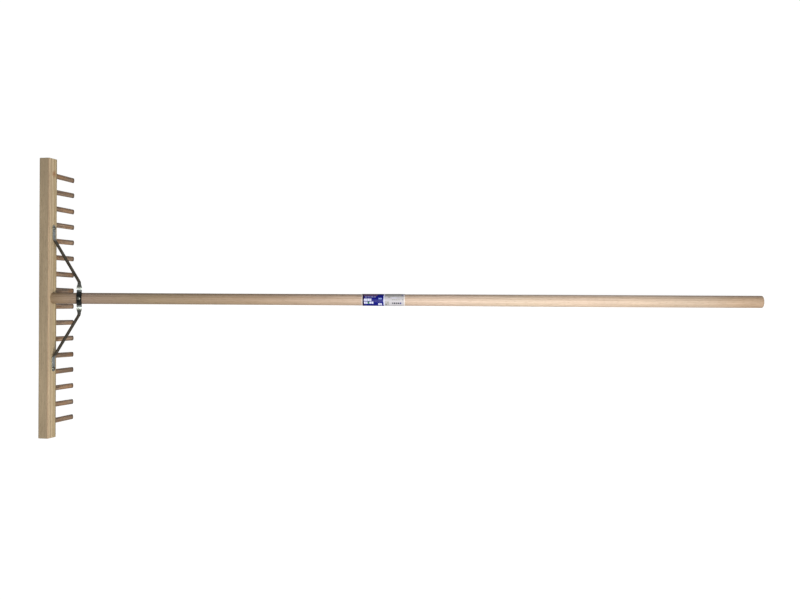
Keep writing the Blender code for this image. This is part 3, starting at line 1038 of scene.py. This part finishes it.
# ------------------------------------------------------------------ steel brace
@dataclass
class StripBrace:
    """One steel strip: tabs flat on the head, arms on edge and a low saddle over the pole.

    Attributes:
        pole: The pole that it spans.
        teeth: The pegs that its tabs sit between.
        width: Width of the strip.
        thickness: Thickness of the strip.
        edge_round: Radius of its rolled edges.
        saddle_distance: Distance of the saddle's middle from the head's inner face.
        saddle_radius: Radius of the saddle's bow.
        saddle_half_angle: Angle of the bow to either side.
        saddle_fillet: Radius of the bend at the bow's foot.
        twist_length: Length over which the strip turns on edge.
        corner_past_twist: Straight length between the twist and the arm's bend.
        corner_radius: Radius of the arm's bend.
        tab_height: Height of the tabs' middle line above the pole's axis.
        tab_length: Length of a tab.
        tab_bend_radius: Radius of the bend at a tab's root.
        tab_past_screw: Length of a tab past its screw.
        tab_tooth: Number of the peg, from the head's end, that a tab's screw sits beside.
        screw_web: Wood between that peg's socket and the screw's hole.
        shank: Diameter of the screws' shanks.
        screw_length: Length of the screws under their heads.
        steps: Number of chords of a bend.
        drill_sides: Number of facets round a drill.
        arm_step: Longest chord of an arm.
        twist_step: Longest chord of a twist.
    """

    pole: Pole
    teeth: ToothRow
    width: float = 0.0125
    thickness: float = 0.0022
    edge_round: float = 0.0006
    saddle_distance: float = 0.0693
    saddle_radius: float = 0.045
    saddle_half_angle: float = math.radians(18)
    saddle_fillet: float = 0.012
    twist_length: float = 0.020
    corner_past_twist: float = 0.003
    corner_radius: float = 0.010
    tab_height: float = 0.001
    tab_length: float = 0.034
    tab_bend_radius: float = 0.006
    tab_past_screw: float = 0.0075
    tab_tooth: int = 4
    screw_web: float = 0.0014
    shank: float = 0.004
    screw_length: float = 0.016
    steps: int = 12
    drill_sides: int = 32
    arm_step: float = 0.006
    twist_step: float = 0.001

    @property
    def top(self) -> float:
        """Height of the saddle's upper face above the pole's axis."""
        return self.pole.neck / 2 + GAP + self.thickness

    @property
    def saddle_place(self) -> float:
        """Place of the saddle's middle along the pole."""
        return self.pole.face + self.saddle_distance

    @property
    def tab_screw_place(self) -> float:
        """Distance of a tab's screw from the middle of the head."""
        tooth = self.teeth.places()[-self.tab_tooth]
        return tooth - self.teeth.diameter / 2 - GAP - self.screw_web - self.shank / 2 - GAP

    def tab_point(self, across: float, along: float) -> Vector:
        """Find a point at the tabs' height.

        Args:
            across: Distance from the head's middle through its thickness.
            along: Distance along the head.

        Returns:
            The point, in the rake's frame.
        """
        lean = self.pole.lean
        return Vector(((across - self.tab_height * math.sin(lean)) / math.cos(lean), along,
                       self.tab_height))

    def tab_seat(self, along: float) -> Vector:
        """Give the middle of the face under a tab screw's head."""
        return self.tab_point(self.pole.head_thickness / 2 + GAP + self.thickness + GAP, along)

    def saddle_seat(self) -> Vector:
        """Give the middle of the face under the saddle screw's head."""
        return Vector((self.saddle_place, 0.0, self.top + GAP))

    def saddle_line(self) -> list[Vector]:
        """Bend the middle line of half the saddle.

        Returns:
            Its points, from the foot to the top.
        """
        axis, half = self.top - self.thickness / 2 - self.saddle_radius, self.saddle_half_angle
        reach = self.saddle_radius + self.saddle_fillet
        line = [(reach * math.sin(half) + along, axis + reach * math.cos(half) + height)
                for along, height in arc(self.saddle_fillet, -QUARTER_TURN, -QUARTER_TURN - half,
                                         self.steps)]
        line += [(along, axis + height) for along, height in
                 arc(self.saddle_radius, QUARTER_TURN - half, QUARTER_TURN, self.steps * 2)[1:]]
        return [Vector((self.saddle_place, along, height)) for along, height in line]

    def rounded(self, before: Vector, corner: Vector, after: Vector,
                radius: float) -> list[Vector]:
        """Round one corner of the strip's line.

        Args:
            before: Point before the corner.
            corner: The corner.
            after: Point after it.
            radius: Radius of the bend.

        Returns:
            Points of the arc that takes the corner's place.
        """
        arriving = (corner - before).normalized()
        leaving = (after - corner).normalized()
        turn = arriving.angle(leaving)
        start = corner - arriving * radius * math.tan(turn / 2)
        side = (leaving - arriving * arriving.dot(leaving)).normalized()
        angles = [turn * step / self.steps for step in range(self.steps + 1)]
        return [start + arriving * radius * math.sin(angle)
                + side * radius * (1 - math.cos(angle)) for angle in angles]

    @staticmethod
    def even_steps(line: list[Vector], longest: float) -> list[Vector]:
        """Add points along a line's long straight runs.

        Args:
            line: Points of the line.
            longest: Longest chord that may be left.

        Returns:
            The same line with more points.
        """
        route = [line[0]]
        for before, after in zip(line, line[1:]):
            pieces = max(1, math.ceil((after - before).length / longest))
            route += [before.lerp(after, piece / pieces) for piece in range(1, pieces + 1)]
        return route

    def middle_line(self) -> list[Vector]:
        """Bend the middle line of half the strip.

        Returns:
            Its points, from the tab's end to the top of the saddle.
        """
        saddle = self.saddle_line()
        foot = saddle[0]
        seat = self.pole.head_thickness / 2 + GAP + self.thickness / 2
        tab_end = self.tab_screw_place + self.tab_past_screw
        tip = self.tab_point(seat, tab_end)
        bend = self.tab_point(seat, tab_end - self.tab_length)
        corner = foot + ALONG * (self.twist_length + self.corner_past_twist)
        shares = [QUARTER_TURN * step / self.steps for step in range(self.steps + 1)]
        arm = [tip - ALONG * self.width / 2 * (1 - math.cos(share)) for share in shares]
        arm += self.rounded(tip, bend, corner, self.tab_bend_radius)
        arm += self.rounded(bend, corner, foot, self.corner_radius)
        twist = [arm.pop()] + saddle
        return (self.even_steps(arm + twist[:1], self.arm_step)
                + self.even_steps(twist, self.twist_step)[1:])

    def blank(self, frame: RakeFrame) -> bmesh.types.BMesh:
        """Bend half the strip along its line as a thin sheet.

        Args:
            frame: The rake's frame.

        Returns:
            The sheet, in the rake's frame.
        """
        line = self.middle_line()
        foot, tip, last = self.saddle_line()[0].y, line[0].y, len(line) - 1
        full = self.width / 2
        sheet = bmesh.new()
        bmesh.ops.create_grid(sheet, x_segments=1, y_segments=last, size=0.5)
        for corner in sheet.verts:
            row = round((corner.co.y + 0.5) * last)
            side = 1.0 if corner.co.x > 0 else -1.0
            point = line[row]
            course = (line[min(row + 1, last)] - line[max(row - 1, 0)]).normalized()
            if row == last:
                course = -ALONG
            share = smooth(1 - (point.y - foot) / self.twist_length)
            lean = frame.lean + (QUARTER_TURN - frame.lean) * share
            width = Vector((-math.sin(lean), 0.0, math.cos(lean)))
            width = (width - course * width.dot(course)).normalized()
            short = max(0.0, full - (tip - point.y))
            half = math.sqrt(max(full * full - short * short, 0.0))
            corner.co = point + width * half * side
        bmesh.ops.remove_doubles(sheet, verts=sheet.verts, dist=MERGE_DISTANCE)
        return sheet

    def screw_drills(self, frame: RakeFrame) -> tuple[list[bmesh.types.BMesh],
                                                      bmesh.types.BMesh]:
        """Make the drills of the three screws, in the rake's frame.

        Args:
            frame: The rake's frame.

        Returns:
            The drills of the tabs' two screws, and the drill of the saddle's screw.
        """
        radius = self.shank / 2 + GAP
        depth = self.screw_length + GAP
        profile = [(0.0, depth), (radius, depth), (radius, -depth), (0.0, -depth)]
        turn = Matrix.Rotation(QUARTER_TURN - frame.lean, 4, "Y")
        tabs = [moved(turned(profile, self.drill_sides),
                      Matrix.Translation(self.tab_seat(side * self.tab_screw_place)) @ turn)
                for side in (-1.0, 1.0)]
        saddle = moved(turned(profile, self.drill_sides), Matrix.Translation(self.saddle_seat()))
        return tabs, saddle

    def build(self, frame: RakeFrame, steel: bpy.types.Material) -> None:
        """Mirror the blank, give it its thickness and rolled edges, and drill it.

        Args:
            frame: The rake's frame.
            steel: Material of the strip.
        """
        sheet = as_object(self.blank(frame), "strip_blank")
        mirror = sheet.modifiers.new("other_arm", "MIRROR")
        mirror.use_axis = (False, True, False)
        mirror.use_clip = True
        mirror.merge_threshold = MERGE_DISTANCE
        wall = sheet.modifiers.new("thickness", "SOLIDIFY")
        wall.thickness = self.thickness
        wall.offset = 0.0
        wall.use_even_offset = True
        edges = sheet.modifiers.new("rolled_edges", "BEVEL")
        edges.width = self.edge_round
        edges.segments = 3
        edges.limit_method = "ANGLE"
        edges.angle_limit = math.radians(60)
        tabs, saddle = self.screw_drills(frame)
        strip = carved(baked(sheet), [*tabs, saddle])
        bmesh.ops.recalc_face_normals(strip, faces=strip.faces)
        set_piece(strip, "strip_brace", "brace_strap", frame.matrix, [steel])


@dataclass
class RoundHeadScrew:
    """Wood screw with a domed head and a cross recess.

    Attributes:
        head: Diameter of the head.
        head_height: Height of the head.
        lip: Height of the straight edge under the dome.
        shank: Diameter of the shank.
        length: Length under the head.
        point: Length of the point.
        recess: Length of each blade of the cross.
        blade: Width of a blade.
        recess_depth: Depth of the cross.
        taper: How a blade narrows towards its foot, along each of its axes.
        turn: Angle at which the screw stopped, in degrees.
        sides: Number of facets round the screw.
        dome_steps: Number of facets over the dome.
    """

    turn: float
    head: float = 0.0086
    head_height: float = 0.0028
    lip: float = 0.0005
    shank: float = 0.004
    length: float = 0.016
    point: float = 0.004
    recess: float = 0.0046
    blade: float = 0.0010
    recess_depth: float = 0.0015
    taper: tuple[float, float, float] = (0.45, 0.8, 1.0)
    sides: int = 48
    dome_steps: int = 10

    def build(self, name: str, node: str, place: Matrix, steel: bpy.types.Material) -> None:
        """Turn the screw, press its recess and put it in its place.

        Args:
            name: Name of the piece.
            node: CAD node that it stands for.
            place: Takes the screw's own frame into the row frame.
            steel: Material of the screw.
        """
        rim, shank = self.head / 2, self.shank / 2
        dome = self.head_height - self.lip
        profile = [(rim * across / dome, self.lip + up)
                   for across, up in reversed(arc(dome, 0.0, QUARTER_TURN, self.dome_steps))]
        profile[0] = (0.0, self.head_height)
        profile += [(rim, 0.0), (shank, 0.0), (shank, self.point - self.length),
                    (0.0, -self.length)]
        cross = []
        for angle in (45.0, 135.0):
            tool = block((self.recess, self.blade, self.recess_depth * 2))
            low = [corner for corner in tool.verts if corner.co.z < 0]
            bmesh.ops.scale(tool, vec=self.taper, verts=low)
            turn = Matrix.Rotation(math.radians(self.turn + angle), 4, "Z")
            cross.append(moved(tool, Matrix.Translation((0, 0, self.head_height)) @ turn))
        set_piece(carved(turned(profile, self.sides), cross), name, node, place,
                  [steel])


# ------------------------------------------------------------------ printed sleeve
@dataclass(frozen=True)
class PrintBlock:
    """One plain block of print on the sleeve.

    Attributes:
        left: Start along the sleeve, in millimetres from the end nearer the head.
        right: End along the sleeve, in millimetres.
        low: First angle round the pole, in degrees from its top.
        high: Last angle, in degrees.
        ink: Ink of the block.
    """

    left: float
    right: float
    low: float
    high: float
    ink: Ink


def print_row(start: float, widths: tuple[float, ...], space: float, low: float, high: float,
              ink: Ink) -> list[PrintBlock]:
    """Set a row of plain dashes that stands for a line of print.

    Args:
        start: Start of the first dash, in millimetres.
        widths: Length of each dash, in millimetres.
        space: Space between two dashes, in millimetres.
        low: First angle of the row, in degrees.
        high: Last angle of the row, in degrees.
        ink: Ink of the dashes.

    Returns:
        The dashes.
    """
    row = []
    for width in widths:
        row.append(PrintBlock(start, start + width, low, high, ink))
        start += width + space
    return row


@dataclass
class PrintedSleeve:
    """Printed film round the pole, with two panels and a clear edge.

    Attributes:
        pole: The pole that it wraps.
        distance: Distance of its nearer end from the head's inner face.
        length: Length along the pole.
        film: Thickness of the film.
        facet: Largest angle between two facets, in degrees.
        divider: Middle of the line between the panels, in millimetres from the nearer end.
        bow: How far that line bows towards the head, in millimetres.
        bow_reach: Distance over which the print bows with it, in millimetres.
        extra_scores: Scores that keep the facets of the wide panels short, in millimetres.
    """

    pole: Pole
    distance: float = 0.774
    length: float = 0.108
    film: float = 0.0003
    facet: float = 7.5
    divider: float = 57.3
    bow: float = 2.2
    bow_reach: float = 9.0
    extra_scores: tuple[float, ...] = (20.0, 36.0, 88.0)

    def artwork(self) -> list[PrintBlock]:
        """Lay out the print.

        Returns:
            Its blocks, later ones over earlier ones.
        """
        art = [
            PrintBlock(0.0, 108.0, -180.0, 180.0, Ink.CLEAR),
            PrintBlock(1.9, 56.0, -180.0, 180.0, Ink.NAVY),
            PrintBlock(1.9, 5.2, -180.0, 180.0, Ink.DARK),
            PrintBlock(5.2, 40.0, -84.0, -41.0, Ink.MAUVE),
            PrintBlock(56.0, 58.6, -180.0, 180.0, Ink.WHITE),
            PrintBlock(58.6, 105.3, -180.0, 180.0, Ink.PALE),
            PrintBlock(59.6, 104.0, -84.0, -34.0, Ink.GREY),
            PrintBlock(66.0, 71.4, -48.0, -22.0, Ink.GREY),
            PrintBlock(59.6, 68.0, 14.0, 58.0, Ink.GREY),
            PrintBlock(60.4, 63.0, 22.0, 34.0, Ink.PALE),
            PrintBlock(64.6, 66.4, 38.0, 50.0, Ink.PALE),
            PrintBlock(61.0, 62.6, 42.0, 52.0, Ink.COAL),
            PrintBlock(99.8, 104.2, -60.0, -46.0, Ink.HAZE),
            PrintBlock(100.2, 104.0, -10.0, 4.0, Ink.GREY),
            PrintBlock(70.0, 96.0, 100.0, 150.0, Ink.WHITE),
        ]
        art += print_row(8.0, (6.2, 4.4, 7.8, 5.0), 1.4, -36.0, -24.0, Ink.HAZE)
        art += print_row(42.0, (3.2, 4.0), 1.2, -20.0, -6.0, Ink.SKY)
        art += print_row(5.8, (4.6, 3.2, 5.4, 3.6), 0.6, -13.0, 10.0, Ink.WHITE)
        art += print_row(5.8, (4.0, 4.2), 0.7, 17.0, 40.0, Ink.WHITE)
        art += print_row(15.4, (3.4,), 0.7, 17.0, 40.0, Ink.GREEN)
        art += print_row(19.4, (4.4, 4.6), 0.7, 17.0, 40.0, Ink.WHITE)
        art += print_row(41.4, (4.6, 4.0), 0.8, 32.0, 62.0, Ink.WHITE)
        art += print_row(76.0, (2.0, 1.6, 2.4, 1.8), 1.0, -24.0, -16.0, Ink.WHITE)
        art += print_row(76.0, (3.4, 2.6, 4.2, 3.0, 2.2), 1.2, -6.0, 2.0, Ink.GREY)
        art += print_row(75.8, (2.4, 4.6, 3.2, 3.8), 1.4, 24.0, 42.0, Ink.COAL)
        art += print_row(95.6, (3.0,), 1.4, 24.0, 42.0, Ink.NAVY)
        art += print_row(8.0, (9.0, 6.0, 11.0, 7.0), 2.0, 96.0, 108.0, Ink.WHITE)
        art += print_row(8.0, (7.0, 10.0, 8.0), 2.0, 120.0, 128.0, Ink.HAZE)
        art += print_row(8.0, (12.0, 6.0, 9.0), 2.0, 140.0, 148.0, Ink.HAZE)
        art += print_row(62.0, (8.0, 5.0, 9.0, 6.0), 2.0, -150.0, -142.0, Ink.GREY)
        art += print_row(62.0, (6.0, 9.0, 7.0), 2.0, -132.0, -124.0, Ink.GREY)
        art += print_row(72.0, (0.8, 1.6, 0.6, 1.2, 0.8, 2.0, 0.6, 1.4, 0.8, 1.0), 0.9, 106.0,
                         144.0, Ink.COAL)
        return art

    def build(self, frame: RakeFrame, films: dict[Ink, bpy.types.Material]) -> None:
        """Print the flat film, wrap it round the pole and give it its thickness.

        Args:
            frame: The rake's frame.
            films: Material of each ink.
        """
        art, inks = self.artwork(), list(Ink)
        film = bmesh.new()
        bmesh.ops.create_grid(film, x_segments=1, y_segments=1, size=0.5)
        for corner in film.verts:
            corner.co.x = (corner.co.x + 0.5) * self.length / MILLIMETRE
            corner.co.y *= 360.0
        steps = round(360.0 / self.facet)
        rims = {edge for item in art for edge in (item.low, item.high)}
        rims |= {-180.0 + self.facet * step for step in range(1, steps)}
        ends = {edge for item in art for edge in (item.left, item.right)} | {*self.extra_scores}
        self._score(film, sorted(ends), Vector((1, 0, 0)))
        self._score(film, sorted(rims), Vector((0, 1, 0)))
        for face in film.faces:
            spot = face.calc_center_median()
            for item in art:
                if item.left < spot.x < item.right and item.low < spot.y < item.high:
                    face.material_index = inks.index(item.ink)
        for corner in film.verts:
            corner.co = self._wrapped(corner.co)
        bmesh.ops.remove_doubles(film, verts=film.verts, dist=MERGE_DISTANCE)
        bmesh.ops.recalc_face_normals(film, faces=film.faces)
        bmesh.ops.solidify(film, geom=film.faces[:], thickness=self.film)
        bmesh.ops.recalc_face_normals(film, faces=film.faces)
        set_piece(film, "printed_sleeve", "label_sleeve", frame.matrix,
                  [films[ink] for ink in inks], weighted=False)

    @staticmethod
    def _score(film: bmesh.types.BMesh, places: list[float], axis: Vector) -> None:
        """Score the flat film along straight lines.

        Args:
            film: The flat film.
            places: Places of the lines on the axis.
            axis: Direction square to the lines.
        """
        for place in places:
            bmesh.ops.bisect_plane(film, geom=film.verts[:] + film.edges[:] + film.faces[:],
                                   dist=0.0001, plane_co=axis * place, plane_no=axis)

    def _wrapped(self, flat: Vector) -> Vector:
        """Find where a point of the flat film comes to lie on the pole.

        Args:
            flat: Millimetres along the sleeve and degrees round the pole.

        Returns:
            The point, in the rake's frame.
        """
        angle = math.radians(flat.y)
        near = max(0.0, 1 - abs(flat.x - self.divider) / self.bow_reach)
        bow = near * max(0.0, math.cos(angle))
        distance = self.distance + (flat.x - self.bow * bow) * MILLIMETRE
        radius = self.pole.radius(distance) + GAP + self.film
        return Vector((self.pole.face + distance, -radius * math.sin(angle),
                       radius * math.cos(angle)))


# ------------------------------------------------------------------ studio
@dataclass
class Studio:
    """Plain pale floor, soft lights and the camera above the rake.

    Attributes:
        camera_along: Place of the camera along the pole, from the head's inner face.
        camera_side: Place of the camera across the pole.
        camera_height: Height of the camera above the pole's axis.
        camera_roll: Turn of the camera about its view, in degrees.
        focal: Focal length for a 36 mm wide sensor.
        floor_size: Distance from the floor's middle to its edges.
        paper: Colour of the floor under the softboxes.
        paper_glow: How bright the floor shines by itself.
        ceiling: Direction of the dark ceiling's middle.
    """

    camera_along: float = 0.8696
    camera_side: float = 0.0001
    camera_height: float = 2.4576
    camera_roll: float = 0.30
    focal: float = 44.1
    floor_size: float = 60.0
    paper: str = "616161"
    paper_glow: float = 0.95
    ceiling: tuple[float, float, float] = (-0.26, 0.0, 0.966)

    def camera(self, frame: RakeFrame, face: float) -> None:
        """Hang the camera over the rake, square to the pole.

        Args:
            frame: The rake's frame.
            face: Distance from the frame's origin to the head's inner face.
        """
        data = bpy.data.cameras.new("overhead_camera")
        data.lens = self.focal
        data.sensor_width = 36.0
        data.clip_start = 0.05
        data.clip_end = 50.0
        camera = bpy.data.objects.new("overhead_camera", data)
        bpy.context.scene.collection.objects.link(camera)
        place = Vector((face + self.camera_along, self.camera_side, self.camera_height))
        roll = Matrix.Rotation(math.radians(self.camera_roll), 4, "Z")
        camera.matrix_world = frame.matrix @ Matrix.Translation(place) @ roll
        bpy.context.scene.camera = camera

    def softbox(self, name: str, place: tuple[float, float, float],
                aim: tuple[float, float, float], size: tuple[float, float], power: float,
                colour: str) -> None:
        """Hang one rectangular softbox.

        Args:
            name: Name of the light.
            place: Its middle.
            aim: Point that it faces.
            size: Width and height.
            power: Power in watts.
            colour: Colour of its light.
        """
        data = bpy.data.lights.new(name, "AREA")
        data.shape = "RECTANGLE"
        data.size, data.size_y = size
        data.energy = power
        data.color = linear(colour)[:3]
        light = bpy.data.objects.new(name, data)
        light.location = place
        light.rotation_euler = (Vector(aim) - Vector(place)).to_track_quat("-Z", "Y").to_euler()
        light.visible_camera = False
        bpy.context.scene.collection.objects.link(light)

    def surround(self) -> None:
        """Light the room evenly, under a dark ceiling as over a camera stand."""
        world = bpy.data.worlds.new("studio_room")
        world.use_nodes = True
        bpy.context.scene.world = world
        tree = world.node_tree
        look = add_node(tree, "ShaderNodeTexCoord").outputs["Generated"]
        towards = add_node(tree, "ShaderNodeVectorMath",
                           {"operation": "DOT_PRODUCT", 1: self.ceiling}, {0: look})
        ramp = add_node(tree, "ShaderNodeValToRGB", links={"Fac": towards.outputs["Value"]})
        stops = ramp.color_ramp.elements
        stops[0].position, stops[1].position = 0.80, 0.93
        stops[0].color = (0.34, 0.34, 0.35, 1.0)
        stops[1].color = (0.02, 0.02, 0.02, 1.0)
        backdrop = tree.nodes["Background"]
        tree.links.new(ramp.outputs["Color"], backdrop.inputs["Color"])

    def floor(self) -> None:
        """Lay the pale floor, which glows like lit paper and stays out of the metal's shine."""
        shape = bmesh.new()
        bmesh.ops.create_grid(shape, x_segments=1, y_segments=1, size=self.floor_size)
        floor = as_object(shape, "paper_floor")
        paper, _, shader = start_material("white_paper")
        shader.inputs["Base Color"].default_value = linear(self.paper)
        shader.inputs["Roughness"].default_value = 0.9
        shader.inputs["Emission Color"].default_value = linear("ffffff")
        shader.inputs["Emission Strength"].default_value = self.paper_glow
        floor.data.materials.append(paper)
        floor.visible_diffuse = False
        floor.visible_glossy = False

    def build(self, frame: RakeFrame, face: float) -> None:
        """Set up the whole studio.

        Args:
            frame: The rake's frame.
            face: Distance from the frame's origin to the head's inner face.
        """
        self.camera(frame, face)
        self.softbox("key_softbox", (0.55, -0.75, 1.75), (0.10, 0.0, 0.05), (1.3, 0.9), 36.0,
                     "fffaf2")
        self.softbox("fill_softbox", (-0.20, -0.10, 2.30), (-0.40, 0.0, 0.05), (0.9, 0.9), 12.0,
                     "fbfcff")
        self.surround()
        self.floor()
        # Colours are matched to a plain display, without a film look
        view = bpy.context.scene.view_settings
        view.view_transform = "Standard"
        view.look = "None"


# ------------------------------------------------------------------ the rake
def wood_finishes(frame: RakeFrame) -> dict[str, bpy.types.Material]:
    """Make the four woods.

    Args:
        frame: The rake's frame, whose directions the grain follows.

    Returns:
        Materials by the names head, socket, peg and pole.
    """
    # Planed ash: coarse open grain in long dark lines; the tones across the head are painted light
    # and shade: darker over the top face, palest on the face towards the pole as if lit from that
    # side, with painted shade along that face's far edge
    head = SawnWood(
        name="planed_ash", early="e6d3b0", late="bea682", pore="857358", stain="b39f80",
        grain_turn=(QUARTER_TURN, 0.0, 0.0), pith=(0.045, 0.060), ring_spacing=0.0034,
        patch_length=0.22, stain_share=0.5, streaks=(0.80, 1.10), roughness=0.6,
        tones=((-0.9031, "d8d8d8"), (-0.8800, "d9d9da"), (-0.8776, "e0d6d8"),
               (-0.8767, "fffaf8"), (-0.8745, "ffffff"), (-0.8724, "faf9ee"),
               (-0.8708, "c4c4b8")),
        marks=(GrainMark((-0.8735, 0.312, 0.120), (0.010, 0.011, 0.011), "a0693a", 0.85),))
    # The same ash where a drill went through: rougher and browner
    socket = SawnWood(
        name="drilled_ash", early="8f7d60", late="75654c", pore="54462f", stain="6f614b",
        grain_turn=(QUARTER_TURN, 0.0, 0.0), pith=(0.045, 0.060), ring_spacing=0.0034,
        roughness=0.75)
    # Beech dowels: short brown streaks and a soft sheen, with darker tips
    peg = SawnWood(
        name="dowelled_beech", early="b49a80", late="745c48", pore="4b3829", stain="b07e4c",
        grain_turn=(0.0, frame.head_tilt, 0.0), pith=(0.120, 0.080), ring_spacing=0.0045,
        patch_length=0.05, stain_share=0.6, streaks=(0.55, 1.35), roughness=0.5, tone_axis=2,
        tones=((0.0, "8f8782"), (0.014, "978f8a"), (0.024, "ffffff"), (0.142, "ffffff")))
    # Turned and sanded ash: smooth and pale; the tones along the pole are painted light, brightest
    # in its middle, darker and greyer towards the head, and a little darker and browner at the far
    # end
    pole = SawnWood(
        name="turned_ash", early="e4d0bf", late="d0b79e", pore="a98c6c", stain="cbb3a0",
        grain_turn=(0.0, -QUARTER_TURN - frame.slope, 0.0), pith=(0.052, 0.034),
        ring_spacing=0.0042, patch_length=0.35, stain_share=0.4, roughness=0.48,
        tones=((-0.900, "aaa390"), (-0.868, "aaa390"), (-0.840, "bab3a7"), (-0.790, "bcb7b4"),
               (-0.630, "bdbaaa"), (-0.380, "c9c2b5"), (-0.130, "dfdbd7"), (0.119, "f7f6f7"),
               (0.294, "f8fbf9"), (0.444, "fdfefe"), (0.594, "f9faf8"), (0.744, "ebece9"),
               (0.844, "e2dbd0"), (0.905, "dad2c6")))
    finishes = {"head": head, "socket": socket, "peg": peg, "pole": pole}
    return {name: finish.build() for name, finish in finishes.items()}


def steel_finishes() -> dict[str, bpy.types.Material]:
    """Make the plated steels.

    Returns:
        Materials by the names strip and screw.
    """
    # Painted reflections by distance from the pole: a dark painted reflection over it, a painted
    # white highlight just beside it, painted dark brown reflections along the twisted arms, which
    # are also rougher, and the plating's own bright colour on the tabs
    strip = ZincPlate(
        name="zinc_plated_strip", bright="d8e0dd", dull="a9b1ac", roughness=0.24, patch=0.010,
        stops=((0.0, "505050", 0.0), (0.0155, "707070", 0.0), (0.018, "ffffff", 0.0),
               (0.024, "c4c3bf", 0.0), (0.034, "aaa79f", 0.06), (0.044, "887866", 0.14),
               (0.142, "8e7e6c", 0.14), (0.150, "ffffff", 0.0), (0.184, "ffffff", 0.0)))
    # The same plating on a stamped head: greyer and a little rougher than the strip
    screw = ZincPlate(name="zinc_plated_screw", bright="9da097", dull="7a7c74", roughness=0.28,
                      patch=0.003)
    return {"strip": strip.build(), "screw": screw.build()}


def main() -> None:
    """Build the rake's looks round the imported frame, in order."""
    logging.basicConfig(level=logging.INFO, format="%(name)s: %(message)s")
    frame_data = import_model()

    pole, teeth, bar = Pole(), ToothRow(), HeadBar()
    frame = RakeFrame.from_record(frame_data["record"], pole.end)
    brace = StripBrace(pole, teeth)
    woods = wood_finishes(frame)
    steels = steel_finishes()
    films = {ink: ink.value.build() for ink in Ink}

    into_head = Matrix.Rotation(frame.lean, 4, "Y")
    tab_drills, saddle_drill = brace.screw_drills(frame)
    drills = [teeth.socket(place) for place in teeth.places()]
    drills += [moved(drill, into_head) for drill in (pole.mortise(), *tab_drills)]
    bar.build(frame, drills, woods["head"], woods["socket"])
    teeth.build(frame, woods["peg"])
    pole.build(frame, saddle_drill, woods["pole"])
    brace.build(frame, steels["strip"])
    tilt = Matrix.Rotation(QUARTER_TURN - frame.lean, 4, "Y")
    for side, name, angle in ((1.0, "left", 20.0), (-1.0, "right", -35.0)):
        place = Matrix.Translation(brace.tab_seat(side * brace.tab_screw_place)) @ tilt
        RoundHeadScrew(angle).build(f"tab_screw_{name}", f"brace_screw_{name}",
                                    frame.matrix @ place, steels["screw"])
    RoundHeadScrew(12.0).build("saddle_round_screw", "saddle_screw",
                               frame.matrix @ Matrix.Translation(brace.saddle_seat()),
                               steels["screw"])
    PrintedSleeve(pole).build(frame, films)
    Studio().build(frame, pole.face)


if __name__ == "__main__":
    main()
